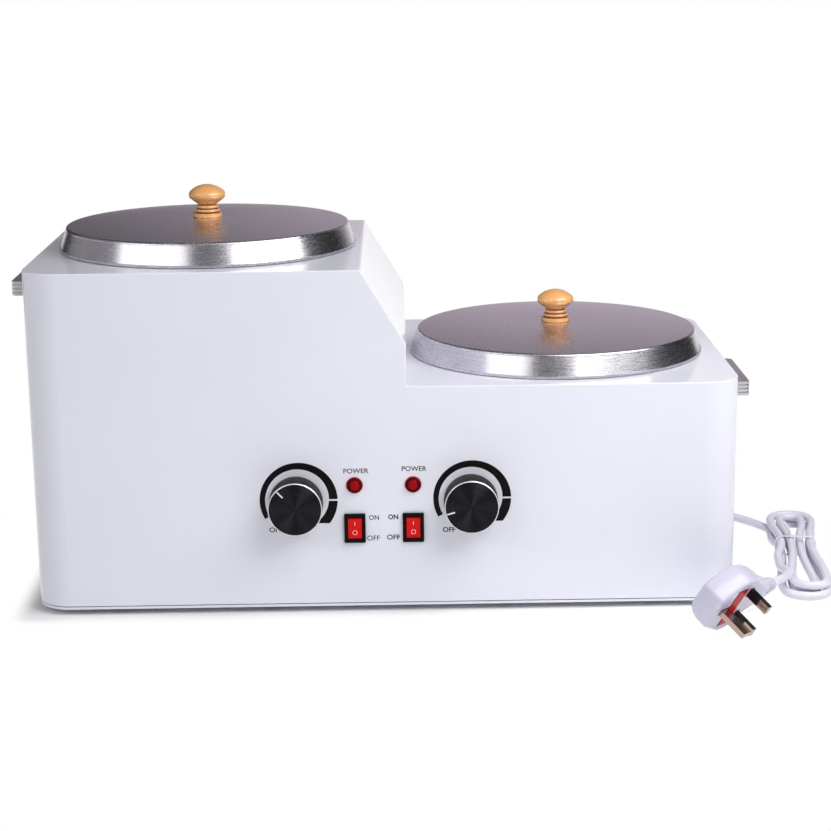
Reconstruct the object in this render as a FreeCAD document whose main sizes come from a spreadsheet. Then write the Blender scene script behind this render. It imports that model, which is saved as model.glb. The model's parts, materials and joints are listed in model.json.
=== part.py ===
import FreeCAD, Part
import Sketcher
import math
import os
from types import SimpleNamespace
from FreeCAD import Placement, Rotation, Vector

# Twin-bay wax warmer on a stepped steel case. Millimetres. X runs to the right of the front, Y to the
# back and Z up from the floor; the origin is under the middle of the appliance, without its lead.

DRIVING_SIZES = {
    # case: sheet steel, folded
    "case_width": 500.0, "case_depth": 245.0, "case_corner": 25.0, "case_sheet": 1.0,
    "case_foot": 7.0, "tall_deck": 246.0, "low_deck": 164.0,
    "slope_top": -15.2, "slope_foot": 15.7, "riser_top": 194.5, "fold_radius": 1.8,
    "flange_inset": 13.0, "plate_inset": 0.2, "plate_lip": 2.5, "seam": 0.8, "seam_depth": 2.0,
    "vent_radius": 3.0,
    # feet and small screws
    "foot_radius": 11.0, "foot_height": 6.0, "foot_inset": 34.0,
    "tapping_radius": 1.6, "tapping_head": 3.2, "tapping_head_height": 2.0,
    # bays: wells, pots, bails, lids
    "bay_offset": 129.0, "deck_hole": 94.5,
    "well_radius": 93.0, "well_sheet": 1.2, "well_flange": 101.0, "well_bend": 8.0,
    "tall_well": 172.0, "low_well": 118.0, "rivet_circle": 98.2, "rivet_radius": 1.6,
    "pot_radius": 91.0, "pot_sheet": 1.2, "pot_flange": 94.8, "pot_seat": 1.4, "pot_collar": 16.9,
    "tall_pot": 164.0, "low_pot": 110.0, "pot_bead": 1.4,
    "bail_wire": 2.0, "bail_radius": 95.4, "bail_bend": 4.2, "bail_height": 9.0, "bail_play": 0.08,
    "lid_radius": 109.0, "lid_shoulder": 104.3, "lid_gap": 0.5, "lid_height": 16.7, "lid_dome": 4.7,
    "lid_sheet": 1.2, "lid_round": 1.9, "lid_seat": 14.0, "lid_bead": 1.8, "lid_hole": 2.2,
    # turned wooden lid knobs
    "wood_base": 10.5, "wood_ring": 8.2, "wood_waist": 7.0, "wood_head": 13.6, "wood_height": 24.0,
    "wood_bore": 1.75,
    # heat parts
    "band_inner": 93.2, "band_outer": 96.6, "band_height": 70.0, "band_gap": 14.0, "band_lug": 10.0,
    "wrap_inner": 97.0, "wrap_outer": 103.0, "wrap_gap": 24.0,
    "tall_band_foot": 112.0, "low_band_foot": 70.0, "bulb_radius": 3.0, "bulb_length": 80.0,
    "bulb_circle": 96.4, "capillary_radius": 0.8, "cutout_radius": 9.0, "cutout_height": 8.0,
    # dials
    "left_dial": -62.7, "right_dial": 59.9, "dial_height": 82.4, "knob_radius": 19.0, "knob_reach": 22.0,
    "knob_back": 1.5, "knob_recess": 17.8, "knob_web": 5.0, "knob_bore_end": 16.0, "knob_edge": 0.6,
    "shaft_radius": 3.0, "shaft_play": 0.05, "bush_radius": 4.8, "bush_hole": 5.2,
    "stat_plate": 40.0, "stat_plate_sheet": 1.5, "stat_width": 32.0, "stat_height": 36.0,
    "stat_depth": 24.0, "stat_screw": 14.0,
    # rocker switches
    "left_switch": -21.8, "right_switch": 19.4, "switch_height": 62.3,
    "bezel_width": 15.0, "bezel_height": 21.0, "bezel_thick": 2.0, "bezel_lip": 0.7,
    "switch_width": 13.0, "switch_tall": 19.0, "switch_depth": 14.0,
    "cavity_width": 10.2, "cavity_mouth": 15.2, "cavity_tall": 17.4, "cavity_depth": 8.0, "pivot_depth": 2.5,
    "rocker_width": 9.6, "rocker_half": 6.6, "rocker_crest": 5.2, "rocker_valley": 4.3,
    "rocker_heel": 8.3, "rocker_round": 8.4,
    "pin_radius": 1.2, "pin_play": 0.06, "pin_reach": 6.0, "rocker_rest": 9.0,
    # pilot lamps
    "left_lamp": -21.6, "right_lamp": 19.5, "lamp_height": 93.6, "lens_flange": 5.8, "lens_radius": 4.3,
    "lens_rise": 3.4, "barrel_radius": 4.9, "barrel_bore": 3.6, "barrel_length": 18.0,
    "clip_radius": 7.5,
    # side handles
    "handle_length": 82.0, "handle_reach": 19.6, "handle_bar": 8.0, "handle_leg": 11.0,
    "handle_rib": 2.0, "handle_groove": 0.8, "handle_groove_depth": 0.7, "handle_corner": 4.0,
    "handle_fillet": 3.0, "handle_drop": 29.0, "handle_bore": 1.7,
    # wiring inside
    "wire_radius": 1.1, "block_width": 44.0, "block_depth": 20.0, "block_height": 16.0, "block_back": 40.0,
    "block_screw": 15.0, "block_bore": 1.8, "block_pitch": 7.0, "earth_x": 48.0, "earth_back": 78.0,
    "stud_radius": 2.5, "stud_nut": 4.4, "stat_tab": 6.3, "switch_tab": 4.8, "tab_thick": 0.8,
    "stat_tab_length": 8.0, "switch_tab_length": 7.0, "tab_row": 10.0, "tab_offset": 8.0,
    # mains lead
    "cord_radius": 3.1, "gland_x": 130.0, "gland_z": 36.0, "gland_flange": 8.0, "gland_body": 5.8,
    "boot_length": 28.0,
    "hank_x": 316.0, "hank_waist": 112.5, "hank_lean": 7.0, "hank_front": 93.0, "hank_back": 57.0,
    "hank_inner": 6.6, "hank_step": 7.5, "hank_draw": 5.0, "hank_low": 4.8, "hank_rise": 6.8,
    "hank_lead": 32.0, "hank_tail": 45.0, "tie_width": 2.4,
    # plug: three-pin, fused
    "plug_x": 243.25, "plug_y": -56.7, "plug_bearing": 45.1, "plug_tilt": 32.5,
    "plug_half": 25.4, "plug_earth_half": 13.0, "plug_earth_end": -33.0, "plug_cord_end": 7.0,
    "plug_nose_end": 30.0, "plug_nose": 7.5, "plug_depth": 21.0,
    "pin_row": 11.1, "earth_row": -22.2, "live_length": 17.7, "earth_length": 22.7,
    "sleeve_length": 9.5, "pin_width": 6.35, "pin_thick": 4.0, "core_width": 5.2,
    "core_thick": 3.0, "earth_width": 8.0, "pin_root": 8.0, "carrier_row": -11.3, "carrier_width": 10.2,
    "carrier_length": 33.0, "carrier_depth": 7.0, "plug_boot": 13.0, "plug_boot_base": 5.8,
    "plug_boot_tip": 4.6, "plug_boot_axis": -5.4,
}

doc = FreeCAD.newDocument("wax_warmer")
sheet = doc.addObject("Spreadsheet::Sheet", "sizes")
for row, (alias, amount) in enumerate(DRIVING_SIZES.items(), start=1):
    sheet.set(f"A{row}", alias)
    sheet.set(f"B{row}", str(amount))
    sheet.setAlias(f"B{row}", alias)
doc.recompute()


class Size:
    """A length that keeps its value together with the sheet expression that gives it."""

    def __init__(self, value, text):
        self.value = float(value)
        self.text = text

    @staticmethod
    def of(other):
        return other if isinstance(other, Size) else Size(other, repr(float(other)))

    def __add__(self, other):
        other = Size.of(other)
        return Size(self.value + other.value, f"({self.text} + {other.text})")

    def __radd__(self, other):
        return Size.of(other) + self

    def __sub__(self, other):
        other = Size.of(other)
        return Size(self.value - other.value, f"({self.text} - {other.text})")

    def __rsub__(self, other):
        return Size.of(other) - self

    def __mul__(self, other):
        other = Size.of(other)
        return Size(self.value * other.value, f"({self.text} * {other.text})")

    def __rmul__(self, other):
        return Size.of(other) * self

    def __truediv__(self, other):
        other = Size.of(other)
        return Size(self.value / other.value, f"({self.text} / {other.text})")

    def __neg__(self):
        return Size(-self.value, f"(0 - {self.text})")

    def root(self):
        return Size(math.sqrt(self.value), f"sqrt({self.text})")


def val(size):
    return Size.of(size).value


def cap_radius(half, rise):
    """Radius of the arc that rises from half width to the axis and meets the axis squarely."""
    return (half * half + rise * rise) / (2 * rise)


s = SimpleNamespace(**{alias: Size(amount, f"sizes.{alias}") for alias, amount in DRIVING_SIZES.items()})
FRONT = -(s.case_depth - s.knob_reach) / 2
BACK = FRONT + s.case_depth
MIDDLE = FRONT + s.case_depth / 2
PANEL = Rotation(Vector(1, 0, 0), 90)
UPRIGHT = Rotation()
TURNED_ROUND = Rotation(Vector(0, 0, 1), 180)
SIDES = {"left": -1, "right": 1}
DIALS = {"left": s.left_dial, "right": s.right_dial}
SWITCHES = {"left": s.left_switch, "right": s.right_switch}
LAMPS = {"left": s.left_lamp, "right": s.right_lamp}
BAYS = {
    "left": SimpleNamespace(x=-s.bay_offset, deck=s.tall_deck, well=s.tall_well, pot=s.tall_pot,
                            band=s.tall_band_foot, turn=UPRIGHT),
    "right": SimpleNamespace(x=s.bay_offset, deck=s.low_deck, well=s.low_well, pot=s.low_pot,
                             band=s.low_band_foot, turn=TURNED_ROUND),
}
pieces = []


def place(thing, at, turn=UPRIGHT):
    thing.Placement = Placement(Vector(*[val(c) for c in at]), turn)
    for axis, size in zip("xyz", at):
        if isinstance(size, Size):
            thing.setExpression(f"Placement.Base.{axis}", size.text)


def new_body(label, at=(0, 0, 0), turn=UPRIGHT, keep=True):
    body = doc.addObject("PartDesign::Body", label)
    body.AllowCompound = True
    place(body, at, turn)
    if keep:
        pieces.append(body)
    return body


def sketch_on(body, role, offset=0):
    plane = next(item for item in body.Origin.OriginFeatures if item.Role == role)
    sketch = body.newObject("Sketcher::SketchObject", f"{body.Label}_sketch")
    sketch.AttachmentSupport = [(plane, "")]
    sketch.MapMode = "FlatFace"
    sketch.AttachmentOffset = Placement(Vector(0, 0, val(offset)), UPRIGHT)
    if isinstance(offset, Size):
        sketch.setExpression("AttachmentOffset.Base.z", offset.text)
    return sketch


def bind(sketch, kind, args, size):
    number = sketch.addConstraint(Sketcher.Constraint(kind, *args, val(size)))
    if isinstance(size, Size):
        sketch.setExpression(f"Constraints[{number}]", size.text)


def pin_point(sketch, geometry, position, u, v):
    for kind, axis, size in (("DistanceX", -2, u), ("DistanceY", -1, v)):
        if abs(val(size)) < 1e-9:
            sketch.addConstraint(Sketcher.Constraint("PointOnObject", geometry, position, axis))
        else:
            bind(sketch, kind, (-1, 1, geometry, position), size)


def outline(sketch, corners):
    """Closed loop. A corner is (u, v), or (u, v, radius) when an arc comes to it from the corner before;
    a positive radius turns left on the way round and a negative one turns right."""
    ends = []
    for index, corner in enumerate(corners):
        before = corners[index - 1]
        start = Vector(val(before[0]), val(before[1]), 0)
        stop = Vector(val(corner[0]), val(corner[1]), 0)
        if len(corner) == 2:
            ends.append((sketch.addGeometry(Part.LineSegment(start, stop), False), 1, 2))
            continue
        radius = val(corner[2])
        half = (stop - start) / 2
        rise = math.sqrt(max(radius * radius - half.Length ** 2, 0.0))
        across = Vector(-half.y, half.x, 0).normalize() * math.copysign(rise, radius)
        centre = start + half + across
        first, last = (start, stop) if radius > 0 else (stop, start)
        angles = [math.atan2(point.y - centre.y, point.x - centre.x) for point in (first, last)]
        circle = Part.Circle(centre, Vector(0, 0, 1), abs(radius))
        number = sketch.addGeometry(Part.ArcOfCircle(circle, *angles), False)
        ends.append((number, 1, 2) if radius > 0 else (number, 2, 1))
        size = Size.of(corner[2])
        bind(sketch, "Radius", (number,), size if radius > 0 else -size)
    for index, corner in enumerate(corners):
        arriving = ends[index]
        leaving = ends[(index + 1) % len(corners)]
        sketch.addConstraint(Sketcher.Constraint("Coincident", arriving[0], arriving[2],
                                                 leaving[0], leaving[1]))
        pin_point(sketch, arriving[0], arriving[2], corner[0], corner[1])


def discs(sketch, centres, radius):
    for u, v in centres:
        spot = Vector(val(u), val(v), 0)
        number = sketch.addGeometry(Part.Circle(spot, Vector(0, 0, 1), val(radius)), False)
        bind(sketch, "Radius", (number,), radius)
        pin_point(sketch, number, 3, u, v)


def box_corners(u, v, width, height):
    return [(u - width / 2, v - height / 2), (u + width / 2, v - height / 2),
            (u + width / 2, v + height / 2), (u - width / 2, v + height / 2)]


def round_box(u, v, width, height, radius):
    left, right, low, high = u - width / 2, u + width / 2, v - height / 2, v + height / 2
    return [(right - radius, low), (right, low + radius, radius),
            (right, high - radius), (right - radius, high, radius), (left + radius, high),
            (left, high - radius, radius), (left, low + radius), (left + radius, low, radius)]


def extrude(kind, body, sketch, length, reverse=False, middle=False):
    feature = body.newObject(f"PartDesign::{kind}", f"{body.Label}_{kind.lower()}")
    feature.Profile = sketch
    feature.Length = val(length)
    if isinstance(length, Size):
        feature.setExpression("Length", length.text)
    feature.Reversed = reverse
    if middle:
        feature.Midplane = True
    sketch.Visibility = False
    return feature


def pad(body, role, offset, corners, length, reverse=False):
    sketch = sketch_on(body, role, offset)
    outline(sketch, corners)
    return extrude("Pad", body, sketch, length, reverse)


def pad_discs(body, role, offset, centres, radius, length, reverse=False):
    sketch = sketch_on(body, role, offset)
    discs(sketch, centres, radius)
    return extrude("Pad", body, sketch, length, reverse)


def pocket(body, role, offset, corners, length, reverse=False):
    sketch = sketch_on(body, role, offset)
    outline(sketch, corners)
    return extrude("Pocket", body, sketch, length, reverse)


def pocket_discs(body, role, offset, centres, radius, length, reverse=False):
    sketch = sketch_on(body, role, offset)
    discs(sketch, centres, radius)
    return extrude("Pocket", body, sketch, length, reverse)


def turned(label, corners, at, turn=UPRIGHT, keep=True):
    body = new_body(label, at, turn, keep)
    sketch = sketch_on(body, "XZ_Plane")
    outline(sketch, corners)
    feature = body.newObject("PartDesign::Revolution", f"{label}_revolution")
    feature.Profile = sketch
    feature.ReferenceAxis = (sketch, ["V_Axis"])
    feature.Angle = 360
    sketch.Visibility = False
    return body


def soften(body, feature, radius, wanted):
    """Rounds those edges of the feature for which the test holds."""
    doc.recompute()
    names = [f"Edge{number}" for number, edge in enumerate(feature.Shape.Edges, start=1) if wanted(edge)]
    if not names:
        raise RuntimeError(f"no edge to round on {body.Label}")
    fillet = body.newObject("PartDesign::Fillet", f"{body.Label}_fillet")
    fillet.Base = (feature, names)
    fillet.Radius = val(radius)
    if isinstance(radius, Size):
        fillet.setExpression("Radius", radius.text)
    body.Tip = fillet
    return fillet


def screws(label, centres, at, turn, shank, shank_from, shank_length, head, head_length):
    """Round-headed screws: the heads run down from shank_from and the shanks run up from it."""
    body = new_body(label, at, turn)
    pad_discs(body, "XY_Plane", shank_from, centres, head, head_length, reverse=True)
    pad_discs(body, "XY_Plane", shank_from, centres, shank, shank_length)
    return body


# routes of wires and leads


def bend_wire(points, shortest_radius=0.0):
    """Straight runs joined by tangent arcs; returns the wire and its length."""
    spots = [Vector(*[val(c) for c in point]) for point in points]
    edges = []
    reached = spots[0]
    tightest = float("inf")
    for before, corner, after in zip(spots, spots[1:], spots[2:]):
        back = before - corner
        ahead = after - corner
        turn = math.pi - back.getAngle(ahead)
        setback = 0.45 * min(back.Length, ahead.Length)
        radius = setback / math.tan(turn / 2)
        tightest = min(tightest, radius)
        back.normalize()
        ahead.normalize()
        begin = corner + back * setback
        end = corner + ahead * setback
        inward = (back + ahead).normalize()
        centre = corner + inward * (radius / math.cos(turn / 2))
        middle = centre - inward * radius
        edges.append(Part.LineSegment(reached, begin).toShape())
        edges.append(Part.Arc(begin, middle, end).toShape())
        reached = end
    edges.append(Part.LineSegment(reached, spots[-1]).toShape())
    wire = Part.Wire(edges)
    if tightest < shortest_radius:
        raise RuntimeError(f"bend of {tightest:.1f} mm is too tight")
    return wire, tightest


def sweep(wire, radius):
    first = wire.OrderedEdges[0]
    start = first.valueAt(first.FirstParameter)
    along = first.tangentAt(first.FirstParameter)
    if (start - wire.OrderedVertexes[0].Point).Length > 1e-6:
        start = first.valueAt(first.LastParameter)
        along = first.tangentAt(first.LastParameter) * -1
    ring = Part.Wire([Part.makeCircle(radius, start, along)])
    tube = wire.makePipeShell([ring], True, False)
    expected = math.pi * radius ** 2 * wire.Length
    if abs(tube.Volume - expected) > 0.02 * expected:
        raise RuntimeError(f"tube volume {tube.Volume:.1f} is not {expected:.1f}")
    return tube


def group(label, members):
    """Separate solids that share one node."""
    item = doc.addObject("Part::Compound", label)
    item.Links = members
    pieces.append(item)


def tube_piece(label, routes, radius, shortest_radius=0.0, keep=True):
    shapes = []
    for points in routes:
        wire, tightest = bend_wire(points, shortest_radius)
        shapes.append(sweep(wire, val(radius)))
        print(f"{label}: length {wire.Length:.1f}, tightest bend {tightest:.1f}")
    item = doc.addObject("Part::Feature", label)
    item.Shape = shapes[0] if len(shapes) == 1 else Part.makeCompound(shapes)
    if keep:
        pieces.append(item)
    return item


# case

lean = math.atan2(val(s.tall_deck - s.riser_top), val(s.slope_foot - s.slope_top))
shift_top = s.case_sheet * math.tan(lean / 2)
shift_foot = s.case_sheet * math.tan((math.pi / 2 - lean) / 2)
inside_top = [(s.slope_top - shift_top, s.tall_deck - s.case_sheet),
              (s.slope_foot - s.case_sheet, s.riser_top - shift_foot),
              (s.slope_foot - s.case_sheet, s.low_deck - s.case_sheet)]
beyond = 20.0

wrap = new_body("case_wrap")
pad(wrap, "XY_Plane", s.case_foot, round_box(0, MIDDLE, s.case_width, s.case_depth, s.case_corner),
    s.tall_deck - s.case_foot)
pocket(wrap, "XY_Plane", s.tall_deck,
       round_box(0, MIDDLE, s.case_width - 2 * s.case_sheet, s.case_depth - 2 * s.case_sheet,
                 s.case_corner - s.case_sheet),
       s.tall_deck - s.case_foot - s.case_sheet)
pocket(wrap, "XY_Plane", s.case_foot + s.case_sheet,
       round_box(0, MIDDLE, s.case_width - 2 * s.flange_inset, s.case_depth - 2 * s.flange_inset,
                 s.case_corner - s.flange_inset),
       s.case_sheet)
above = sketch_on(wrap, "XZ_Plane", -FRONT + 1)
outline(above, [(-s.case_width / 2 - beyond, inside_top[0][1])] + inside_top + [
    (s.case_width / 2 + beyond, inside_top[2][1]), (s.case_width / 2 + beyond, s.tall_deck + beyond),
    (-s.case_width / 2 - beyond, s.tall_deck + beyond)])
extrude("Pocket", wrap, above, s.case_depth + 2)
panel_cut = 2 * s.case_sheet
mirror = (-1, 1)
pocket_discs(wrap, "XZ_Plane", -FRONT, [(dial_x, s.dial_height) for dial_x in DIALS.values()],
             s.bush_hole, panel_cut)
stat_screw_spots = [(dial_x + j * s.stat_screw, s.dial_height) for dial_x in DIALS.values() for j in mirror]
pocket_discs(wrap, "XZ_Plane", -FRONT, stat_screw_spots, s.tapping_radius + 0.5, panel_cut)
pocket_discs(wrap, "XZ_Plane", -FRONT, [(lamp_x, s.lamp_height) for lamp_x in LAMPS.values()],
             s.barrel_radius + 0.2, panel_cut)
for switch_x in SWITCHES.values():
    pocket(wrap, "XZ_Plane", -FRONT, box_corners(switch_x, s.switch_height,
                                                 s.switch_width + 0.3, s.switch_tall + 0.3), panel_cut)
handle_rise = 4 * s.handle_rib + 3 * s.handle_groove
handle_spots = {name: BAYS[name].deck - s.handle_drop for name in SIDES}
leg_reach = (s.handle_length - s.handle_leg) / 2
pocket_discs(wrap, "YZ_Plane", s.case_width / 2,
             [(MIDDLE + k * leg_reach, handle_spots["right"] + handle_rise / 2) for k in mirror],
             s.handle_bore + 0.3, panel_cut)
pocket_discs(wrap, "YZ_Plane", -s.case_width / 2 + panel_cut,
             [(MIDDLE + k * leg_reach, handle_spots["left"] + handle_rise / 2) for k in mirror],
             s.handle_bore + 0.3, panel_cut)
pocket_discs(wrap, "XZ_Plane", -BACK + panel_cut, [(s.gland_x, s.gland_z)], s.gland_body + 0.2, panel_cut)
flange_line = s.flange_inset / 2 + 0.5
plate_spots = [(k * x, MIDDLE + j * (s.case_depth / 2 - flange_line))
               for x in (s.case_width / 2 - 60, s.case_width / 6) for k in mirror for j in mirror]
pocket_discs(wrap, "XY_Plane", s.case_foot + s.case_sheet, plate_spots, s.tapping_radius, s.case_sheet)

deck = new_body("case_deck")
strip = sketch_on(deck, "XZ_Plane", -MIDDLE)
outline(strip, [(-s.case_width / 2, s.tall_deck - s.case_sheet)] + inside_top + [
    (s.case_width / 2, s.low_deck - s.case_sheet), (s.case_width / 2, s.low_deck),
    (s.slope_foot, s.low_deck), (s.slope_foot, s.riser_top), (s.slope_top, s.tall_deck),
    (-s.case_width / 2, s.tall_deck)])
folded = extrude("Pad", deck, strip, s.case_depth, middle=True)


def on_fold(edge):
    box = edge.BoundBox
    spots = ((s.slope_top, s.tall_deck), (s.slope_foot, s.riser_top), (s.slope_foot, s.low_deck))
    return box.YLength > 100 and any(
        abs(box.Center.x - val(x)) < 1e-3 and abs(box.Center.z - val(z)) < 1e-3 for x, z in spots)


soften(deck, folded, s.fold_radius, on_fold)
trim = sketch_on(deck, "XY_Plane", s.tall_deck + 1)
outline(trim, box_corners(0, MIDDLE, s.case_width + 2 * beyond, s.case_depth + 2 * beyond))
outline(trim, round_box(0, MIDDLE, s.case_width, s.case_depth, s.case_corner))
extrude("Pocket", deck, trim, s.tall_deck - s.low_deck + beyond)
pocket_discs(deck, "XY_Plane", s.tall_deck + 1, [(BAYS[n].x, MIDDLE) for n in SIDES], s.deck_hole,
             s.tall_deck - s.low_deck + beyond)
rivet_spots = {name: [(BAYS[name].x + s.rivet_circle * math.cos(a), MIDDLE + s.rivet_circle * math.sin(a))
                      for a in (math.radians(45 + 90 * q) for q in range(4))] for name in SIDES}
holes = pocket_discs(deck, "XY_Plane", s.tall_deck + 1, rivet_spots["left"] + rivet_spots["right"],
                     s.rivet_radius, s.tall_deck - s.low_deck + beyond)


def on_rim(edge):
    box = edge.BoundBox
    flat = box.ZLength < 1e-4 and min(abs(box.ZMax - val(z)) for z in (s.tall_deck, s.low_deck)) < 1e-4
    reach = abs(abs(box.Center.x) - val(s.case_width) / 2) < 10
    depth = min(abs(box.Center.y - val(FRONT)), abs(box.Center.y - val(BACK))) < 10
    whole = edge.Curve.TypeId == "Part::GeomCircle" and edge.Closed
    return flat and not whole and (reach or depth)


soften(deck, holes, 0.8 * s.case_sheet, on_rim)

bottom = new_body("bottom_plate")
plate_z = s.case_foot - s.plate_lip


def plate_outline(inset):
    """Case plan drawn in all round."""
    return round_box(0, MIDDLE, s.case_width - 2 * inset, s.case_depth - 2 * inset, s.case_corner - inset)


# The plate's rim is joggled down, which leaves an open seam under the case all round.
pad(bottom, "XY_Plane", plate_z, plate_outline(s.plate_inset), s.plate_lip - s.seam)
pad(bottom, "XY_Plane", s.case_foot - s.seam, plate_outline(s.seam_depth), s.seam)
pocket(bottom, "XY_Plane", plate_z, plate_outline(s.plate_inset + s.case_sheet),
       s.plate_lip - s.seam - s.case_sheet, reverse=True)
pocket(bottom, "XY_Plane", plate_z, plate_outline(s.seam_depth + s.case_sheet), s.plate_lip - s.case_sheet,
       reverse=True)
foot_spots = [(k * (s.case_width / 2 - s.foot_inset), MIDDLE + j * (s.case_depth / 2 - s.foot_inset))
              for k in mirror for j in mirror]
block_spots = [(k * s.block_screw, MIDDLE + s.block_back) for k in mirror]
earth_spot = [(s.earth_x, MIDDLE + s.earth_back)]
vents = [(k * (s.bay_offset + 15.0 * i), MIDDLE + 18.0 * j) for k in mirror for i in range(-2, 3)
         for j in range(-1, 2)]
plate_top = s.case_foot
pocket_discs(bottom, "XY_Plane", plate_top, plate_spots + foot_spots + block_spots,
             s.tapping_radius + 0.2, 2 * s.case_sheet)
pocket_discs(bottom, "XY_Plane", plate_top, earth_spot, s.stud_radius + 0.1, 2 * s.case_sheet)
pocket_discs(bottom, "XY_Plane", plate_top, vents, s.vent_radius, 2 * s.case_sheet)

sheet_under = s.case_foot - s.case_sheet
screws("bottom_plate_screws", plate_spots + block_spots, (0, 0, 0), UPRIGHT, s.tapping_radius, sheet_under,
       8.0, s.tapping_head, s.tapping_head_height)
feet = new_body("rubber_feet")
pad_discs(feet, "XY_Plane", 0, foot_spots, s.foot_radius, s.foot_height)
pocket_discs(feet, "XY_Plane", 0, foot_spots, s.tapping_head + 0.8, s.foot_height / 2, reverse=True)
pocket_discs(feet, "XY_Plane", s.foot_height, foot_spots, s.tapping_radius + 0.2, s.foot_height)
screws("foot_screws", foot_spots, (0, 0, 0), UPRIGHT, s.tapping_radius, s.foot_height / 2, 10.0,
       s.tapping_head, s.tapping_head_height)

# bays

bands, band_bolts, blankets = [], [], []
for name, sign in SIDES.items():
    bay = BAYS[name]
    centre = (bay.x, MIDDLE, bay.deck)

    inner = s.well_radius - s.well_sheet
    bend = s.well_bend
    well = turned(f"{name}_heating_well", [
        (0, -bay.well), (s.well_radius - bend, -bay.well), (s.well_radius, -bay.well + bend, bend),
        (s.well_radius, 0), (s.well_flange, 0), (s.well_flange, s.well_sheet), (inner, s.well_sheet),
        (inner, -bay.well + bend), (s.well_radius - bend, -bay.well + s.well_sheet, s.well_sheet - bend),
        (0, -bay.well + s.well_sheet)], centre)
    pocket_discs(well, "XY_Plane", s.well_sheet + 1, [(x - bay.x, y - MIDDLE) for x, y in rivet_spots[name]],
                 s.rivet_radius, s.well_sheet + 2)

    inner = s.pot_radius - s.pot_sheet
    seat_top = s.pot_seat + s.pot_sheet
    bead = s.pot_bead
    pot = turned(f"{name}_wax_pot", [
        (0, -bay.pot), (s.pot_radius - bend, -bay.pot), (s.pot_radius, -bay.pot + bend, bend),
        (s.pot_radius, s.pot_seat), (s.pot_flange, s.pot_seat), (s.pot_flange, seat_top),
        (s.pot_radius, seat_top), (s.pot_radius, s.pot_collar - 2 * bead),
        (s.pot_radius, s.pot_collar, 1.1 * bead), (inner, s.pot_collar),
        (inner, -bay.pot + bend), (s.pot_radius - bend, -bay.pot + s.pot_sheet, s.pot_sheet - bend),
        (0, -bay.pot + s.pot_sheet)], centre)
    pocket_discs(pot, "YZ_Plane", s.pot_radius + 5, [(0, s.bail_height)], s.bail_wire + s.bail_play,
                 2 * s.pot_radius + 10)

    reach = s.bail_radius
    elbow = s.bail_bend
    inner_end = s.pot_radius - 6
    straight = reach - elbow
    path = Part.Wire([
        Part.LineSegment(Vector(val(-inner_end), 0, 0), Vector(val(-straight), 0, 0)).toShape(),
        Part.Arc(Vector(val(-straight), 0, 0),
                 Vector(val(-straight) - val(elbow) * math.sin(math.pi / 4),
                        val(elbow) * (1 - math.cos(math.pi / 4)), 0),
                 Vector(val(-reach), val(elbow), 0)).toShape(),
        Part.Arc(Vector(val(-reach), val(elbow), 0), Vector(0, val(elbow + reach), 0),
                 Vector(val(reach), val(elbow), 0)).toShape(),
        Part.Arc(Vector(val(reach), val(elbow), 0),
                 Vector(val(straight) + val(elbow) * math.sin(math.pi / 4),
                        val(elbow) * (1 - math.cos(math.pi / 4)), 0),
                 Vector(val(straight), 0, 0)).toShape(),
        Part.LineSegment(Vector(val(straight), 0, 0), Vector(val(inner_end), 0, 0)).toShape()])
    bail = doc.addObject("Part::Feature", f"{name}_pot_bail")
    bail.Shape = sweep(path, val(s.bail_wire))
    place(bail, (bay.x, MIDDLE, bay.deck + s.bail_height))
    pieces.append(bail)

    top = s.lid_height + s.lid_dome
    edge_in = s.lid_shoulder - s.lid_round
    edge_top = s.lid_height + 0.6
    dome_run = edge_in - s.lid_seat
    dome_drop = top - edge_top
    dome_radius = (dome_run * dome_run + dome_drop * dome_drop) / (2 * dome_drop)
    thin = s.lid_sheet
    skirt_out = s.lid_radius - 0.5
    turned(f"{name}_lid", [
        (s.lid_hole, top), (s.lid_hole, top - thin), (s.lid_seat, top - thin),
        (edge_in - 0.4, edge_top - thin, -dome_radius), (s.lid_shoulder - thin, s.lid_height - 2.0, -2.4),
        (skirt_out - thin, s.lid_gap + s.lid_bead), (skirt_out - thin, s.lid_gap), (s.lid_radius, s.lid_gap),
        (s.lid_radius, s.lid_gap + s.lid_bead), (skirt_out, s.lid_gap + s.lid_bead),
        (s.lid_shoulder, s.lid_height - 1.4), (edge_in, edge_top, s.lid_round + 0.15),
        (s.lid_seat, top, dome_radius)], centre)

    crown = (bay.x, MIDDLE, bay.deck + top)
    turned(f"{name}_lid_knob", [
        (s.wood_bore, 0), (s.wood_base - 0.6, 0), (s.wood_base, 0.6, 0.6), (s.wood_base, 2.8),
        (s.wood_base - 0.5, 3.3, 0.5), (s.wood_ring, 3.6), (s.wood_ring, 6.2, 1.5),
        (s.wood_waist + 0.4, 6.4), (s.wood_waist + 0.4, 8.8, 1.4), (s.wood_waist, 9.1), (s.wood_waist, 9.6),
        (s.wood_head - 1.3, 13.6, 60.0), (s.wood_head - 1.3, 19.2, 3.6),
        (0, s.wood_height, cap_radius(s.wood_head - 1.3, s.wood_height - 19.2)), (0, s.wood_height - 10),
        (s.wood_bore, s.wood_height - 10)], crown)
    screws(f"{name}_lid_screw", [(0, 0)], crown, UPRIGHT, s.wood_bore - 0.05, -thin, 13.0, 3.6, 2.2)

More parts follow.
